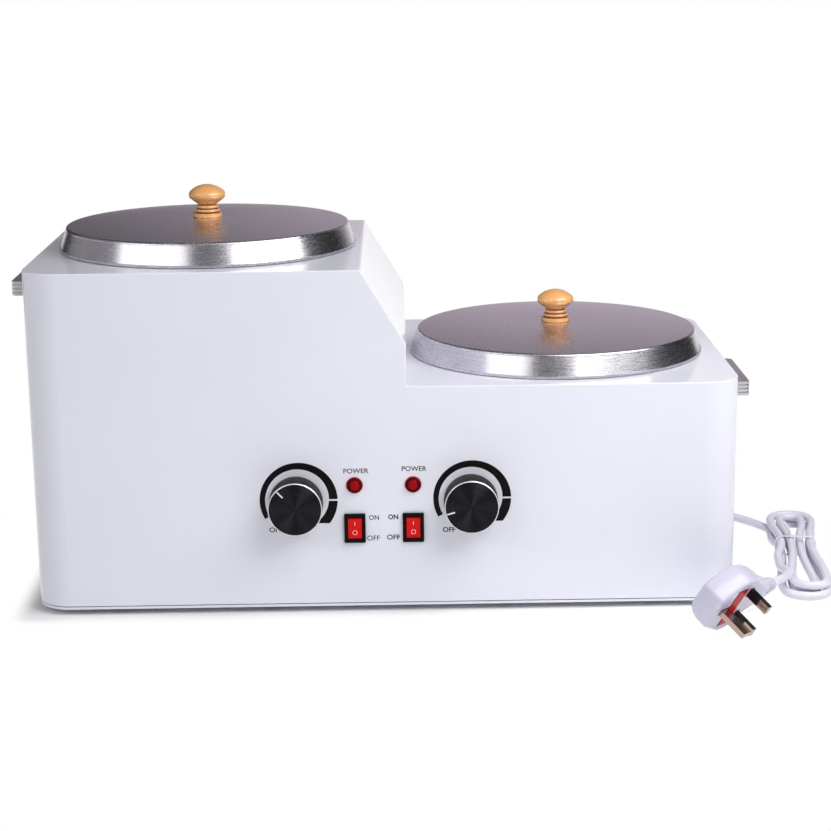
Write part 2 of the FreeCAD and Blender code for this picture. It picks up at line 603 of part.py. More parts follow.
    # heat parts round the well
    gap, lug, low, high = s.band_gap, s.band_lug, s.band_inner, s.band_outer
    over = gap + 2
    band = new_body(f"{name}_band", (bay.x, MIDDLE, bay.band), bay.turn, keep=False)
    pad(band, "XY_Plane", 0, [
        ((low * low - gap * gap).root(), gap, -low), (high + lug, gap), (high + lug, over),
        ((high * high - over * over).root(), over), (-high, 0, high),
        ((high * high - over * over).root(), -over, high), (high + lug, -over), (high + lug, -gap),
        ((low * low - gap * gap).root(), -gap), (-low, 0, -low)], s.band_height)
    clamp_spots = [(high + lug / 2, s.band_height * part) for part in (0.25, 0.75)]
    pocket_discs(band, "XZ_Plane", over + 1, clamp_spots, 2.2, 2 * over + 2)
    clamps = new_body(f"{name}_bolts", (bay.x, MIDDLE, bay.band), bay.turn, keep=False)
    pad_discs(clamps, "XZ_Plane", over, clamp_spots, 3.5, 2.4)
    pad_discs(clamps, "XZ_Plane", over, clamp_spots, 2.0, 2 * over + 4, reverse=True)
    pad_discs(clamps, "XZ_Plane", -over, clamp_spots, 3.6, 3.2, reverse=True)
    blanket = new_body(f"{name}_blanket", (bay.x, MIDDLE, bay.band), bay.turn, keep=False)
    low, high, gap = s.wrap_inner, s.wrap_outer, s.wrap_gap
    pad(blanket, "XY_Plane", 0, [
        ((low * low - gap * gap).root(), gap, -low), ((high * high - gap * gap).root(), gap),
        (-high, 0, high), ((high * high - gap * gap).root(), -gap, high),
        ((low * low - gap * gap).root(), -gap), (-low, 0, -low)], s.band_height)
    bands.append(band)
    band_bolts.append(clamps)
    blankets.append(blanket)

group("band_heaters", bands)
group("band_heater_bolts", band_bolts)
group("insulation_wraps", blankets)

rivets = new_body("well_rivets")
for name in SIDES:
    bay = BAYS[name]
    pad_discs(rivets, "XY_Plane", bay.deck - s.case_sheet, rivet_spots[name], s.rivet_radius,
              s.case_sheet + s.well_sheet)
    pad_discs(rivets, "XY_Plane", bay.deck + s.well_sheet, rivet_spots[name], 1.5 * s.rivet_radius, 0.9)
    pad_discs(rivets, "XY_Plane", bay.deck - s.case_sheet, rivet_spots[name], 1.5 * s.rivet_radius, 0.9,
              reverse=True)

cutouts = new_body("thermal_cutouts")
for name in SIDES:
    bay = BAYS[name]
    pad_discs(cutouts, "XY_Plane", bay.deck - bay.well, [(bay.x, MIDDLE)], s.cutout_radius,
              s.cutout_height, reverse=True)

# dials

for name, sign in SIDES.items():
    dial = (DIALS[name], FRONT, s.dial_height)
    bore = s.shaft_radius + 0.4 * s.shaft_play
    knob = turned(f"{name}_temperature_knob", [
        (s.knob_recess, s.knob_back), (s.knob_radius, s.knob_back),
        (s.knob_radius, s.knob_reach - s.knob_edge), (s.knob_radius - s.knob_edge, s.knob_reach),
        (0, s.knob_reach), (0, s.knob_bore_end), (bore, s.knob_bore_end),
        (bore, s.knob_web), (s.knob_recess, s.knob_web)], dial, PANEL)
    grub_height = (s.knob_web + s.knob_bore_end) / 2
    pocket_discs(knob, "XZ_Plane", s.knob_radius + 1, [(0, grub_height)], 2.0, s.knob_radius + 1)
    grub = new_body(f"{name}_knob_grub_screw", dial, PANEL)
    pad_discs(grub, "XZ_Plane", s.shaft_radius, [(0, grub_height)], 1.95, 9.0)
    shaft = new_body(f"{name}_thermostat_shaft", dial, PANEL)
    pad_discs(shaft, "XY_Plane", -12.0, [(0, 0)], s.shaft_radius, s.knob_bore_end + 12 - 0.5)

    stat = new_body(f"{name}_thermostat", dial, PANEL)
    plate = s.case_sheet + s.stat_plate_sheet
    pad(stat, "XY_Plane", -s.case_sheet, box_corners(0, 0, s.stat_plate, s.stat_plate / 2),
        s.stat_plate_sheet, reverse=True)
    pad(stat, "XY_Plane", -plate, box_corners(0, 0, s.stat_width, s.stat_height), s.stat_depth,
        reverse=True)
    pad_discs(stat, "XY_Plane", -s.case_sheet, [(0, 0)], s.bush_radius, s.case_sheet + 1.5)
    for j in mirror:
        tab = box_corners(j * s.tab_offset, -s.tab_row, s.stat_tab, s.tab_thick)
        pad(stat, "XY_Plane", -plate - s.stat_depth, tab, s.stat_tab_length, reverse=True)
    pocket_discs(stat, "XY_Plane", 1.5, [(0, 0)], s.shaft_radius + s.shaft_play, 14.5)
    pocket_discs(stat, "XY_Plane", 1.5, [(j * s.stat_screw, 0) for j in mirror], s.tapping_radius + 0.1, 9.0)

panel_screws = new_body("thermostat_screws", (0, FRONT, 0), PANEL)
pad_discs(panel_screws, "XY_Plane", 0, stat_screw_spots, s.tapping_head, s.tapping_head_height)
pad_discs(panel_screws, "XY_Plane", 0, stat_screw_spots, s.tapping_radius, 7.0, reverse=True)

# switches and lamps

lenses, barrels = [], []
for name, sign in SIDES.items():
    spot = (SWITCHES[name], FRONT, s.switch_height)
    housing = new_body(f"{name}_switch_body", spot, PANEL)
    pad(housing, "XY_Plane", 0, round_box(0, 0, s.bezel_width, s.bezel_height, 0.8), s.bezel_thick)
    pad(housing, "XY_Plane", 0, box_corners(0, 0, s.switch_width, s.switch_tall), s.switch_depth,
        reverse=True)
    for tab_height in (-6.0, 0, 6.0):
        tab = box_corners(0, tab_height, s.switch_tab, s.tab_thick)
        pad(housing, "XY_Plane", -s.switch_depth, tab, s.switch_tab_length, reverse=True)
    pocket(housing, "XY_Plane", s.bezel_thick, box_corners(0, 0, s.cavity_width, s.cavity_mouth),
           s.bezel_thick + s.cavity_depth)
    pocket(housing, "XY_Plane", s.bezel_thick - s.bezel_lip, box_corners(0, 0, s.cavity_width, s.cavity_tall),
           s.bezel_thick - s.bezel_lip + s.cavity_depth)
    pocket_discs(housing, "YZ_Plane", s.pin_reach + 0.1, [(0, -s.pivot_depth)],
                 s.pin_radius + s.pin_play, 2 * s.pin_reach + 0.2)

    pivot = (SWITCHES[name], FRONT + s.pivot_depth, s.switch_height)
    rest = PANEL.multiply(Rotation(Vector(1, 0, 0), val(s.rocker_rest)))
    rocker = new_body(f"{name}_rocker", pivot, rest)
    pad(rocker, "YZ_Plane", -s.rocker_width / 2, [
        (-s.rocker_half, s.rocker_crest), (-s.rocker_heel, 1.3, s.rocker_round), (-3.0, -3.0), (3.0, -3.0),
        (s.rocker_heel, 1.3), (s.rocker_half, s.rocker_crest, s.rocker_round), (0, s.rocker_valley)],
        s.rocker_width)
    pad_discs(rocker, "YZ_Plane", -s.pin_reach + 0.1, [(0, 0)], s.pin_radius, 2 * s.pin_reach - 0.2)

    spot = (LAMPS[name], FRONT, s.lamp_height)
    lenses.append(turned(f"{name}_lens", [
        (0, 0), (s.lens_flange, 0), (s.lens_flange, 0.9), (s.lens_flange - 0.6, 1.5),
        (s.lens_radius, 1.6), (0, s.lens_rise, cap_radius(s.lens_radius, s.lens_rise - 1.6))],
        spot, PANEL, keep=False))
    barrel = new_body(f"{name}_barrel", spot, PANEL, keep=False)
    barrels.append(barrel)
    pad_discs(barrel, "XY_Plane", 0, [(0, 0)], s.barrel_radius, s.barrel_length, reverse=True)
    pocket_discs(barrel, "XY_Plane", 0, [(0, 0)], s.barrel_bore, s.barrel_length - 3)

group("pilot_lenses", lenses)
group("pilot_lamp_bodies", barrels)
clips = new_body("lamp_clips", (0, FRONT, s.lamp_height), PANEL)
lamp_spots = [(lamp_x, 0) for lamp_x in LAMPS.values()]
pad_discs(clips, "XY_Plane", -s.case_sheet, lamp_spots, s.clip_radius, 2.0, reverse=True)
pocket_discs(clips, "XY_Plane", 0, lamp_spots, s.barrel_radius, 6.0)

# side handles


def grip_outline(cut):
    """Bow handle seen from above, drawn in by the cut where a groove runs round it."""
    length, reach = s.handle_length / 2 - cut, s.handle_reach - cut
    leg, bar = s.handle_length / 2 - s.handle_leg, s.handle_reach - s.handle_bar
    corner, inside = s.handle_corner, s.handle_fillet
    return [(0, -length), (reach - corner, -length), (reach, -length + corner, corner),
            (reach, length - corner), (reach - corner, length, corner), (0, length), (0, leg),
            (bar - inside, leg), (bar, leg - inside, -inside), (bar, inside - leg),
            (bar - inside, -leg, -inside), (0, -leg)]


for name, sign in SIDES.items():
    grip = new_body(f"{name}_handle", (sign * s.case_width / 2, MIDDLE, handle_spots[name]),
                    UPRIGHT if sign > 0 else TURNED_ROUND)
    pad(grip, "XY_Plane", 0, grip_outline(s.handle_groove_depth), handle_rise)
    for rib in range(4):
        pad(grip, "XY_Plane", rib * (s.handle_rib + s.handle_groove), grip_outline(0 * s.handle_groove),
            s.handle_rib)
    pocket_discs(grip, "YZ_Plane", 0, [(k * leg_reach, handle_rise / 2) for k in mirror], s.handle_bore,
                 12.0, reverse=True)

fixings = new_body("handle_screws")
for name, sign in SIDES.items():
    spots = [(MIDDLE + k * leg_reach, handle_spots[name] + handle_rise / 2) for k in mirror]
    inside = sign * (s.case_width / 2 - s.case_sheet)
    outward = sign < 0
    pad_discs(fixings, "YZ_Plane", inside, spots, s.handle_bore - 0.05, 11.0, reverse=outward)
    pad_discs(fixings, "YZ_Plane", inside, spots, 2 * s.handle_bore, 2.4, reverse=not outward)

# wiring inside

floor_top = s.case_foot
block = new_body("terminal_block", (0, MIDDLE + s.block_back, floor_top))
pad(block, "XY_Plane", 0, box_corners(0, 0, s.block_width, s.block_depth), s.block_height)
pocket_discs(block, "XY_Plane", s.block_height, [(k * s.block_screw, 0) for k in mirror],
             s.tapping_radius, s.block_height)
clamp_wells = [(x * s.block_pitch, y * s.block_depth / 4) for x in (-1, 0, 1) for y in mirror]
pocket_discs(block, "XY_Plane", s.block_height, clamp_wells, s.block_bore, s.block_pitch)
stud = new_body("earth_stud", (0, 0, 0))
pad_discs(stud, "XY_Plane", sheet_under, earth_spot, s.stud_nut - 0.2, 2.0, reverse=True)
pad_discs(stud, "XY_Plane", sheet_under, earth_spot, s.stud_radius, 14.0)
pad_discs(stud, "XY_Plane", floor_top, earth_spot, s.stud_nut, 4.0)

block_front = MIDDLE + s.block_back - s.block_depth / 2
block_rear = MIDDLE + s.block_back + s.block_depth / 2
sensors, live, neutral = [], [], []
for name, sign in SIDES.items():
    bay = BAYS[name]
    bulb_x = bay.x - sign * s.bulb_circle
    bulb_y = MIDDLE + 6
    bulb_foot = bay.band - 10
    bulb = new_body(f"{name}_bulb", (bulb_x, bulb_y, bulb_foot), keep=False)
    pad_discs(bulb, "XY_Plane", 0, [(0, 0)], s.bulb_radius, s.bulb_length)
    outlet = DIALS[name] - sign * s.stat_width / 2
    run_y = FRONT + 20
    dip = bulb_foot - 22
    sensors.append(bulb)
    sensors.append(tube_piece(f"{name}_capillary", [[
        (outlet, run_y, s.dial_height + 8), (outlet - sign * 14, run_y, s.dial_height + 8),
        (bulb_x, run_y + 40, (dip + s.dial_height + 8) / 2), (bulb_x, bulb_y, dip),
        (bulb_x, bulb_y, bulb_foot)]], s.capillary_radius, keep=False))
    tab_y = FRONT + s.switch_depth + s.switch_tab_length
    live.append([(sign * s.block_pitch, block_front, 14), (sign * s.block_pitch, block_front - 16, 14),
                 (SWITCHES[name], FRONT + 62, 40), (SWITCHES[name], FRONT + 44, 56.3),
                 (SWITCHES[name], tab_y, 56.3)])
    stat_back = FRONT + s.case_sheet + s.stat_plate_sheet + s.stat_depth + s.stat_tab_length
    stat_tab_x = DIALS[name] - sign * s.tab_offset
    lug_x = bay.x - sign * (s.band_outer + 5)
    lug_gap = s.band_gap + 5.5
    live.append([(stat_tab_x, stat_back, s.dial_height - s.tab_row),
                 (stat_tab_x, stat_back + 12, s.dial_height - s.tab_row),
                 (sign * 22, MIDDLE - 56, 50), (lug_x, MIDDLE - lug_gap, bay.band - 26),
                 (lug_x, MIDDLE - lug_gap, bay.band + 6)])
    neutral.append([(sign * s.block_pitch, block_rear, 14), (sign * s.block_pitch, block_rear + 12, 14),
                    (lug_x, MIDDLE + 54, 34), (lug_x, MIDDLE + lug_gap, bay.band - 18),
                    (lug_x, MIDDLE + lug_gap, bay.band + 6)])
    lamp_back = FRONT + s.barrel_length
    neutral.append([(LAMPS[name], lamp_back, s.lamp_height), (LAMPS[name], lamp_back + 16, s.lamp_height),
                    (SWITCHES[name], tab_y + 16, s.switch_height + 6),
                    (SWITCHES[name], tab_y, s.switch_height + 6)])
group("thermostat_sensors", sensors)
tube_piece("live_wires", live, s.wire_radius)
tube_piece("neutral_wires", neutral, s.wire_radius)
tube_piece("earth_wire", [[(0, block_rear, 14), (0, block_rear + 16, 14), (22, MIDDLE + s.earth_back, 16),
                           (s.earth_x - s.stud_radius, MIDDLE + s.earth_back, 16)]], s.wire_radius)

# mains lead

boot_ribs = []
for rib in range(5):
    rib_start, rib_radius = 4.4 + 4.2 * rib, 6.5 - 0.36 * rib
    boot_ribs += [(rib_radius - 0.9, rib_start), (rib_radius, rib_start + 0.5),
                  (rib_radius - 0.15, rib_start + 2.9), (rib_radius - 1.0, rib_start + 3.4)]
turned("cord_gland", [
    (s.cord_radius, -9), (s.gland_body, -9), (s.gland_body, 0), (s.gland_flange, 0), (s.gland_flange, 2.0),
    (6.6, 3.2)] + boot_ribs + [(4.6, 26.4), (4.2, s.boot_length), (s.cord_radius, s.boot_length)],
    (s.gland_x, BACK, s.gland_z), Rotation(Vector(1, 0, 0), -90))
nut = new_body("gland_nut", (s.gland_x, BACK - s.case_sheet, s.gland_z), PANEL)
pad_discs(nut, "XY_Plane", 0, [(0, 0)], 8.5, 4.0)
pocket_discs(nut, "XY_Plane", 4.0, [(0, 0)], s.gland_body, 4.0)
tube_piece("inner_cord", [[
    (s.gland_x, BACK - 0.5, s.gland_z), (s.gland_x, BACK - 26, s.gland_z), (95, BACK - 52, 28),
    (62, MIDDLE + 50, 17), (25.2, MIDDLE + 41, 16)]], s.cord_radius - 0.6)

outer_loop = s.hank_inner + 1.5 * s.hank_step
hank_top = s.hank_low + s.hank_rise
hank_spot = (s.hank_x, FRONT + s.hank_waist, 0)
hank_turn = Rotation(Vector(0, 0, 1), -val(s.hank_lean))


def on_hank(across, along, up):
    """Spot given across, along and above the hank, from the middle of its waist."""
    spot = Vector(*[val(c) for c in hank_spot])
    return tuple(spot + hank_turn.multVec(Vector(val(across), val(along), val(up))))


tube_piece("cord_lead", [[
    (s.gland_x, BACK + s.boot_length, s.gland_z), (s.gland_x, BACK + 62, s.gland_z),
    (152, BACK + 90, 20), (190, BACK + 84, 4.0), (230, BACK + 36, 3.2), (262, BACK - 11.5, 3.2),
    on_hank(-outer_loop, s.hank_lead + 28, s.hank_low), on_hank(-outer_loop, s.hank_lead, s.hank_low)]],
    s.cord_radius, 9 * val(s.cord_radius))


def biarc(start, heading, stop, arriving):
    """Two arcs that leave start along one heading and reach stop along another."""
    chord = stop - start
    both = heading + arriving
    spread = 1 - heading.dot(arriving)
    if spread < 1e-9:
        reach = chord.dot(chord) / (4 * chord.dot(heading))
    else:
        reach = (-chord.dot(both) + math.sqrt(chord.dot(both) ** 2 + 2 * spread * chord.dot(chord)))
        reach /= 2 * spread
    first = start + heading * reach
    second = stop - arriving * reach
    joint = (first + second) / 2
    edges = []
    for begin, tip, end in ((start, first, joint), (joint, second, stop)):
        centre = (begin + end) / 2
        half = (end - begin).Length / 2
        height = (tip - centre).Length
        if height < 1e-6:
            edges.append(Part.LineSegment(begin, end).toShape())
            continue
        bow = half * math.tan(math.atan2(height, half) / 2)
        edges.append(Part.Arc(begin, centre + (tip - centre) * (bow / height), end).toShape())
    return edges


def hank_knots():
    """Spots and headings along the hank: three loops that spiral in below and out on top."""
    ahead, across = Vector(0, -1, 0), Vector(1, 0, 0)
    low, high = val(s.hank_low), val(hank_top)
    knots = []
    for run in range(7):
        loop = val(outer_loop) - val(s.hank_step) / 2 * (run if run <= 3 else 6 - run)
        side = -1 if run % 2 == 0 else 1
        forward = ahead if side < 0 else ahead * -1
        levels = [low] * 3 if run < 3 else ([low, (high + low) / 2, high] if run == 3 else [high] * 3)
        ends = [val(s.hank_back), 0.0, -val(s.hank_front)]
        if side > 0:
            ends.reverse()
        if run == 0:
            ends[0] = val(s.hank_lead)
        if run == 6:
            ends[2] = -val(s.hank_tail)
        for place_in_run, (y, z) in enumerate(zip(ends, levels)):
            width = loop - (val(s.hank_draw) if place_in_run == 1 else 0)
            climb = Vector(0, 0, 0.11) if run == 3 and place_in_run == 1 else Vector(0, 0, 0)
            heading = (forward + climb).normalize()
            knots.append((Vector(side * width, y, z), heading))
        if run == 6:
            break
        next_loop = val(outer_loop) - val(s.hank_step) / 2 * (run + 1 if run + 1 <= 3 else 5 - run)
        apex = (loop + next_loop) / 2
        front_end = side < 0
        y = -val(s.hank_front) - apex if front_end else val(s.hank_back) + apex
        knots.append((Vector(0, y, knots[-1][0].z), across if front_end else across * -1))
    return knots


hank_edges = []
knots = hank_knots()
for (start, heading), (stop, arriving) in zip(knots, knots[1:]):
    hank_edges += biarc(start, heading, stop, arriving)
hank_wire = Part.Wire(hank_edges)
hank = doc.addObject("Part::Feature", "cord_hank")
hank.Shape = sweep(hank_wire, val(s.cord_radius))
place(hank, hank_spot, hank_turn)
pieces.append(hank)
samples = hank_wire.discretize(Distance=2.0)
spacing = hank_wire.Length / (len(samples) - 1)
apart = int(25 / spacing)
least = min((samples[i] - samples[j]).Length for i in range(len(samples))
            for j in range(i + apart, len(samples)))
print(f"cord_hank: length {hank_wire.Length:.1f}, least gap {least - 2 * val(s.cord_radius):.2f}")

tie = new_body("hank_tie", hank_spot, hank_turn)
tie_middle = -s.hank_step / 4
tie_half = outer_loop - s.hank_draw - s.hank_step / 4 + s.cord_radius + 0.5
tie_low = s.hank_low - s.cord_radius - 0.4
tie_high = hank_top + s.cord_radius + 0.5
for grow, kind in ((0.9, "Pad"), (0.0, "Pocket")):
    ring = sketch_on(tie, "XZ_Plane", -s.tie_width / 2)
    outline(ring, round_box(tie_middle, (tie_low + tie_high) / 2, 2 * tie_half + 2 * grow,
                            tie_high - tie_low + 2 * grow, 3.2 + grow))
    extrude(kind, tie, ring, s.tie_width, reverse=kind == "Pocket")

# plug

bearing = Rotation(Vector(0, 0, 1), val(s.plug_bearing))
tilt = Rotation(Vector(1, 0, 0), 90 + val(s.plug_tilt))
plug_turn = bearing.multiply(tilt)
lean = math.radians(val(s.plug_tilt))
plug_rise = (s.pin_row + s.pin_width / 2) * math.cos(lean) + s.live_length * math.sin(lean) + 0.1
plug_spot = (s.plug_x, FRONT + s.plug_y, plug_rise)
plug = new_body("plug_body", plug_spot, plug_turn)


def shield(cut):
    """Face outline of the plug: narrow at the earth pin, wide at the cord."""
    tip, end = s.plug_earth_end + cut, s.plug_cord_end - cut
    wide, narrow = s.plug_half - cut, s.plug_earth_half - cut
    return [(tip, 5 - narrow), (tip + 5, -narrow, 5), (-8, -wide), (end - 5, -wide), (end, 5 - wide, 5),
            (end, wide - 5), (end - 5, wide, 5), (-8, wide), (tip + 5, narrow), (tip, narrow - 5, 5)]


pad(plug, "XY_Plane", 0, shield(0 * s.plug_half), 0.4 * s.plug_depth, reverse=True)
sections = []
for depth, cut in ((0.4, 0.0), (0.85, 0.1), (1.0, 0.26)):
    section = sketch_on(plug, "XY_Plane", -depth * s.plug_depth)
    outline(section, shield(cut * s.plug_half))
    section.Visibility = False
    sections.append(section)
back = plug.newObject("PartDesign::AdditiveLoft", "plug_body_loft")
back.Profile = sections[0]
back.Sections = sections[1:]
back.Ruled = True
sections = []
for reach, half, front, rear in ((s.plug_cord_end - 3, s.plug_half - 5, -1.0, -0.8 * s.plug_depth),
                                 (s.plug_nose_end, s.plug_nose, 0.4, -0.55 * s.plug_depth)):
    section = sketch_on(plug, "YZ_Plane", reach)
    outline(section, round_box(0 * half, (rear + front) / 2, 2 * half, front - rear, 4.0))
    section.Visibility = False
    sections.append(section)
nose = plug.newObject("PartDesign::AdditiveLoft", "plug_body_nose")
nose.Profile = sections[0]
nose.Sections = sections[1:]
nose.Ruled = True
boot_axis = s.plug_boot_axis
boot = plug.newObject("PartDesign::AdditiveCone", "plug_boot")
for name, size in (("Radius1", s.plug_boot_base), ("Radius2", s.plug_boot_tip), ("Height", s.plug_boot)):
    boot.setExpression(name, size.text)
boot_spot = Vector(val(s.plug_nose_end) - 2, 0, val(boot_axis))
boot.Placement = Placement(boot_spot, Rotation(Vector(0, 1, 0), 90))
plug.Tip = boot
pocket_discs(plug, "YZ_Plane", s.plug_nose_end + 12, [(0, boot_axis)], s.cord_radius, 20.0)
carrier_box = box_corners(s.carrier_row, 0, s.carrier_width, s.carrier_length)
pocket(plug, "XY_Plane", 0, carrier_box, s.carrier_depth)
live_spots = [(0, k * s.pin_row) for k in mirror]
for u, v in live_spots:
    pocket(plug, "XY_Plane", 0, box_corners(u, v, s.core_thick, s.core_width), s.pin_root)
earth_box = box_corners(s.earth_row, 0, s.earth_width, s.pin_thick)
pocket(plug, "XY_Plane", 0, earth_box, s.pin_root)
carrier = new_body("plug_fuse_carrier", plug_spot, plug_turn)
carrier_proud = 0.4
pad(carrier, "XY_Plane", carrier_proud, carrier_box, s.carrier_depth + carrier_proud - 0.2, reverse=True)
pins = new_body("plug_pins", plug_spot, plug_turn)
pad(pins, "XY_Plane", -s.pin_root, earth_box, s.earth_length + s.pin_root)
sleeves = new_body("plug_pin_sleeves", plug_spot, plug_turn)
for u, v in live_spots:
    core = box_corners(u, v, s.core_thick, s.core_width)
    tip = box_corners(u, v, s.pin_thick, s.pin_width)
    pad(pins, "XY_Plane", -s.pin_root, core, s.sleeve_length + s.pin_root)
    pad(pins, "XY_Plane", s.sleeve_length, tip, s.live_length - s.sleeve_length)
    pad(sleeves, "XY_Plane", 0, tip, s.sleeve_length)
for u, v in live_spots:
    core = box_corners(u, v, s.core_thick, s.core_width)
    pocket(sleeves, "XY_Plane", s.sleeve_length, core, s.sleeve_length)

along = plug_turn.multVec(Vector(1, 0, 0))
plug_centre = Vector(*[val(c) for c in plug_spot])
boot_end = boot_spot + Vector(val(s.plug_boot), 0, 0)
cord_end = plug_centre + plug_turn.multVec(boot_end)
tube_piece("cord_tail", [[
    on_hank(-outer_loop, -s.hank_tail, hank_top), on_hank(-outer_loop, -s.hank_tail - 24, hank_top),
    tuple(cord_end + along * 30), tuple(cord_end)]], s.cord_radius, 8 * val(s.cord_radius))

# hand out

doc.recompute()
for item in doc.Objects:
    if "Invalid" in item.State or "Error" in item.State:
        raise RuntimeError(f"{item.Label} did not build: {item.State}")
os.makedirs("parts", exist_ok=True)
for piece in pieces:
    if piece.Shape.isNull() or not piece.Shape.isValid() or not piece.Shape.Solids:
        raise RuntimeError(f"{piece.Label} has no sound shape")
    box = piece.Shape.BoundBox
    print(f"{piece.Label}: {len(piece.Shape.Solids)} solids, {piece.Shape.Volume / 1000:.2f} cm3, "
          f"x {box.XMin:.1f} {box.XMax:.1f} y {box.YMin:.1f} {box.YMax:.1f} z {box.ZMin:.1f} {box.ZMax:.1f}")
    piece.Shape.exportStep(f"parts/{piece.Label}.step")
print(f"{len(pieces)} pieces")
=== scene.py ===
import json
import math
import bmesh
import bpy
from mathutils import Matrix, Vector


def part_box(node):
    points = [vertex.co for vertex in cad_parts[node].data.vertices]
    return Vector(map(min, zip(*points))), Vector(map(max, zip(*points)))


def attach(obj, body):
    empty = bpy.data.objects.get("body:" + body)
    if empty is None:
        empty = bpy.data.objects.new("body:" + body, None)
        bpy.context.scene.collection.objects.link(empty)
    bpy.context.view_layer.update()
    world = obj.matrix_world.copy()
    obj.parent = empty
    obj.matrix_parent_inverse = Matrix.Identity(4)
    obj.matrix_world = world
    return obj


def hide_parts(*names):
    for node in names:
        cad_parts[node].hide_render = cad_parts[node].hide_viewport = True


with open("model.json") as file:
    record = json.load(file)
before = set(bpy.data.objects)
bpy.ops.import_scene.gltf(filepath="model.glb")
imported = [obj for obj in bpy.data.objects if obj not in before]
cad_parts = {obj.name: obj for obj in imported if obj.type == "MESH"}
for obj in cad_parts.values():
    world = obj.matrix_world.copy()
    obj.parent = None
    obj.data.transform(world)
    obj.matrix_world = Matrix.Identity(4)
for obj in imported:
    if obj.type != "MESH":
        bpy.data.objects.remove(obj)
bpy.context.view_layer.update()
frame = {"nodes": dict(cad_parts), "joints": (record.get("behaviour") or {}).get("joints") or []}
nodes = frame["nodes"]
pivots = {joint["name"]: Vector(joint["pos_m"]) for joint in frame["joints"] if "pos_m" in joint}
scene = bpy.context.scene
scene.view_settings.view_transform = "Standard"

MM = 0.001
SIDES = {"left": -1, "right": 1}
PANEL_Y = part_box("case_wrap")[0].y
ON_PANEL = Matrix.Rotation(math.radians(90), 4, "X")

# camera: fitted to the case edges in the photograph

CAMERA_SPOT = Vector((8.2, -1432.2, 466.9)) * MM
CAMERA_YAW = 0.0103
CAMERA_PITCH = 0.2403
CAMERA_ROLL = 0.0118
CAMERA_LENS = 84.66
SENSOR = 36.0


def make_camera():
    forward = Vector((math.sin(CAMERA_YAW) * math.cos(CAMERA_PITCH),
                      math.cos(CAMERA_YAW) * math.cos(CAMERA_PITCH), -math.sin(CAMERA_PITCH)))
    level = Vector((math.cos(CAMERA_YAW), -math.sin(CAMERA_YAW), 0))
    down = forward.cross(level)
    right = math.cos(CAMERA_ROLL) * level + math.sin(CAMERA_ROLL) * down
    up = math.sin(CAMERA_ROLL) * level - math.cos(CAMERA_ROLL) * down
    camera = bpy.data.objects.new("camera", bpy.data.cameras.new("camera"))
    camera.data.lens = CAMERA_LENS
    camera.data.sensor_width = SENSOR
    scene.collection.objects.link(camera)
    turned = Matrix((right, up, -forward)).transposed().to_4x4()
    camera.matrix_world = Matrix.Translation(CAMERA_SPOT) @ turned
    scene.camera = camera


# shared helpers


def linear(colour):
    """Linear RGBA of an sRGB hex colour."""
    channels = [int(colour[i:i + 2], 16) / 255 for i in (1, 3, 5)]
    return [c / 12.92 if c <= 0.04045 else ((c + 0.055) / 1.055) ** 2.4 for c in channels] + [1.0]


def pitch(millimetres):
    """Texture scale at which one cell of a pattern is that long."""
    return 1 / (millimetres * MM)


def add_node(tree, kind, inputs=None, into=None, **settings):
    """Adds a node; inputs hold values or the sockets they come from, into is where its result goes."""
    made = tree.nodes.new(kind)
    for name, value in settings.items():
        setattr(made, name, value)
    for name, value in (inputs or {}).items():
        if isinstance(value, bpy.types.NodeSocket):
            tree.links.new(value, made.inputs[name])
        else:
            made.inputs[name].default_value = value
    if into:
        result = next(socket for socket in made.outputs if socket.enabled)
        tree.links.new(result, into)
    return made


def new_material(name, colour, values):
    """Principled material; returns it with its tree, its shader and its object coordinates."""
    material = bpy.data.materials.new(name)
    material.use_nodes = True
    tree = material.node_tree
    shader = tree.nodes["Principled BSDF"]
    shader.inputs["Base Color"].default_value = linear(colour)
    for socket, value in values.items():
        shader.inputs[socket].default_value = value
    spots = add_node(tree, "ShaderNodeTexCoord")
    return material, tree, shader, spots


def mesh_piece(name, build, material, body, place=None):
    """Piece made from a function that fills a bmesh in local metres."""
    grid = bmesh.new()
    build(grid)
    bmesh.ops.recalc_face_normals(grid, faces=grid.faces)
    mesh = bpy.data.meshes.new(name)
    grid.to_mesh(mesh)
    grid.free()
    piece = bpy.data.objects.new(name, mesh)
    for one in material if isinstance(material, list) else [material]:
        mesh.materials.append(one)
    scene.collection.objects.link(piece)
    piece.matrix_world = place or Matrix()
    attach(piece, body)
    return piece


def ring_of(grid, points):
    return [grid.verts.new(point) for point in points]


def skin(grid, rings, closed=True, smooth=True, paint=0):
    """Quads between rings of equal length."""
    count = len(rings[0])
    for lower, upper in zip(rings, rings[1:]):
        for i in range(count if closed else count - 1):
            j = (i + 1) % count
            face = grid.faces.new((lower[i], lower[j], upper[j], upper[i]))
            face.smooth = smooth
            face.material_index = paint


def cap(grid, ring, paint=0, smooth=False):
    face = grid.faces.new(ring)
    face.material_index = paint
    face.smooth = smooth


def circle(radius, count, height=0.0):
    """Points of a circle about local Z."""
    turns = (2 * math.pi * i / count for i in range(count))
    return [Vector((radius * math.cos(a), radius * math.sin(a), height)) for a in turns]


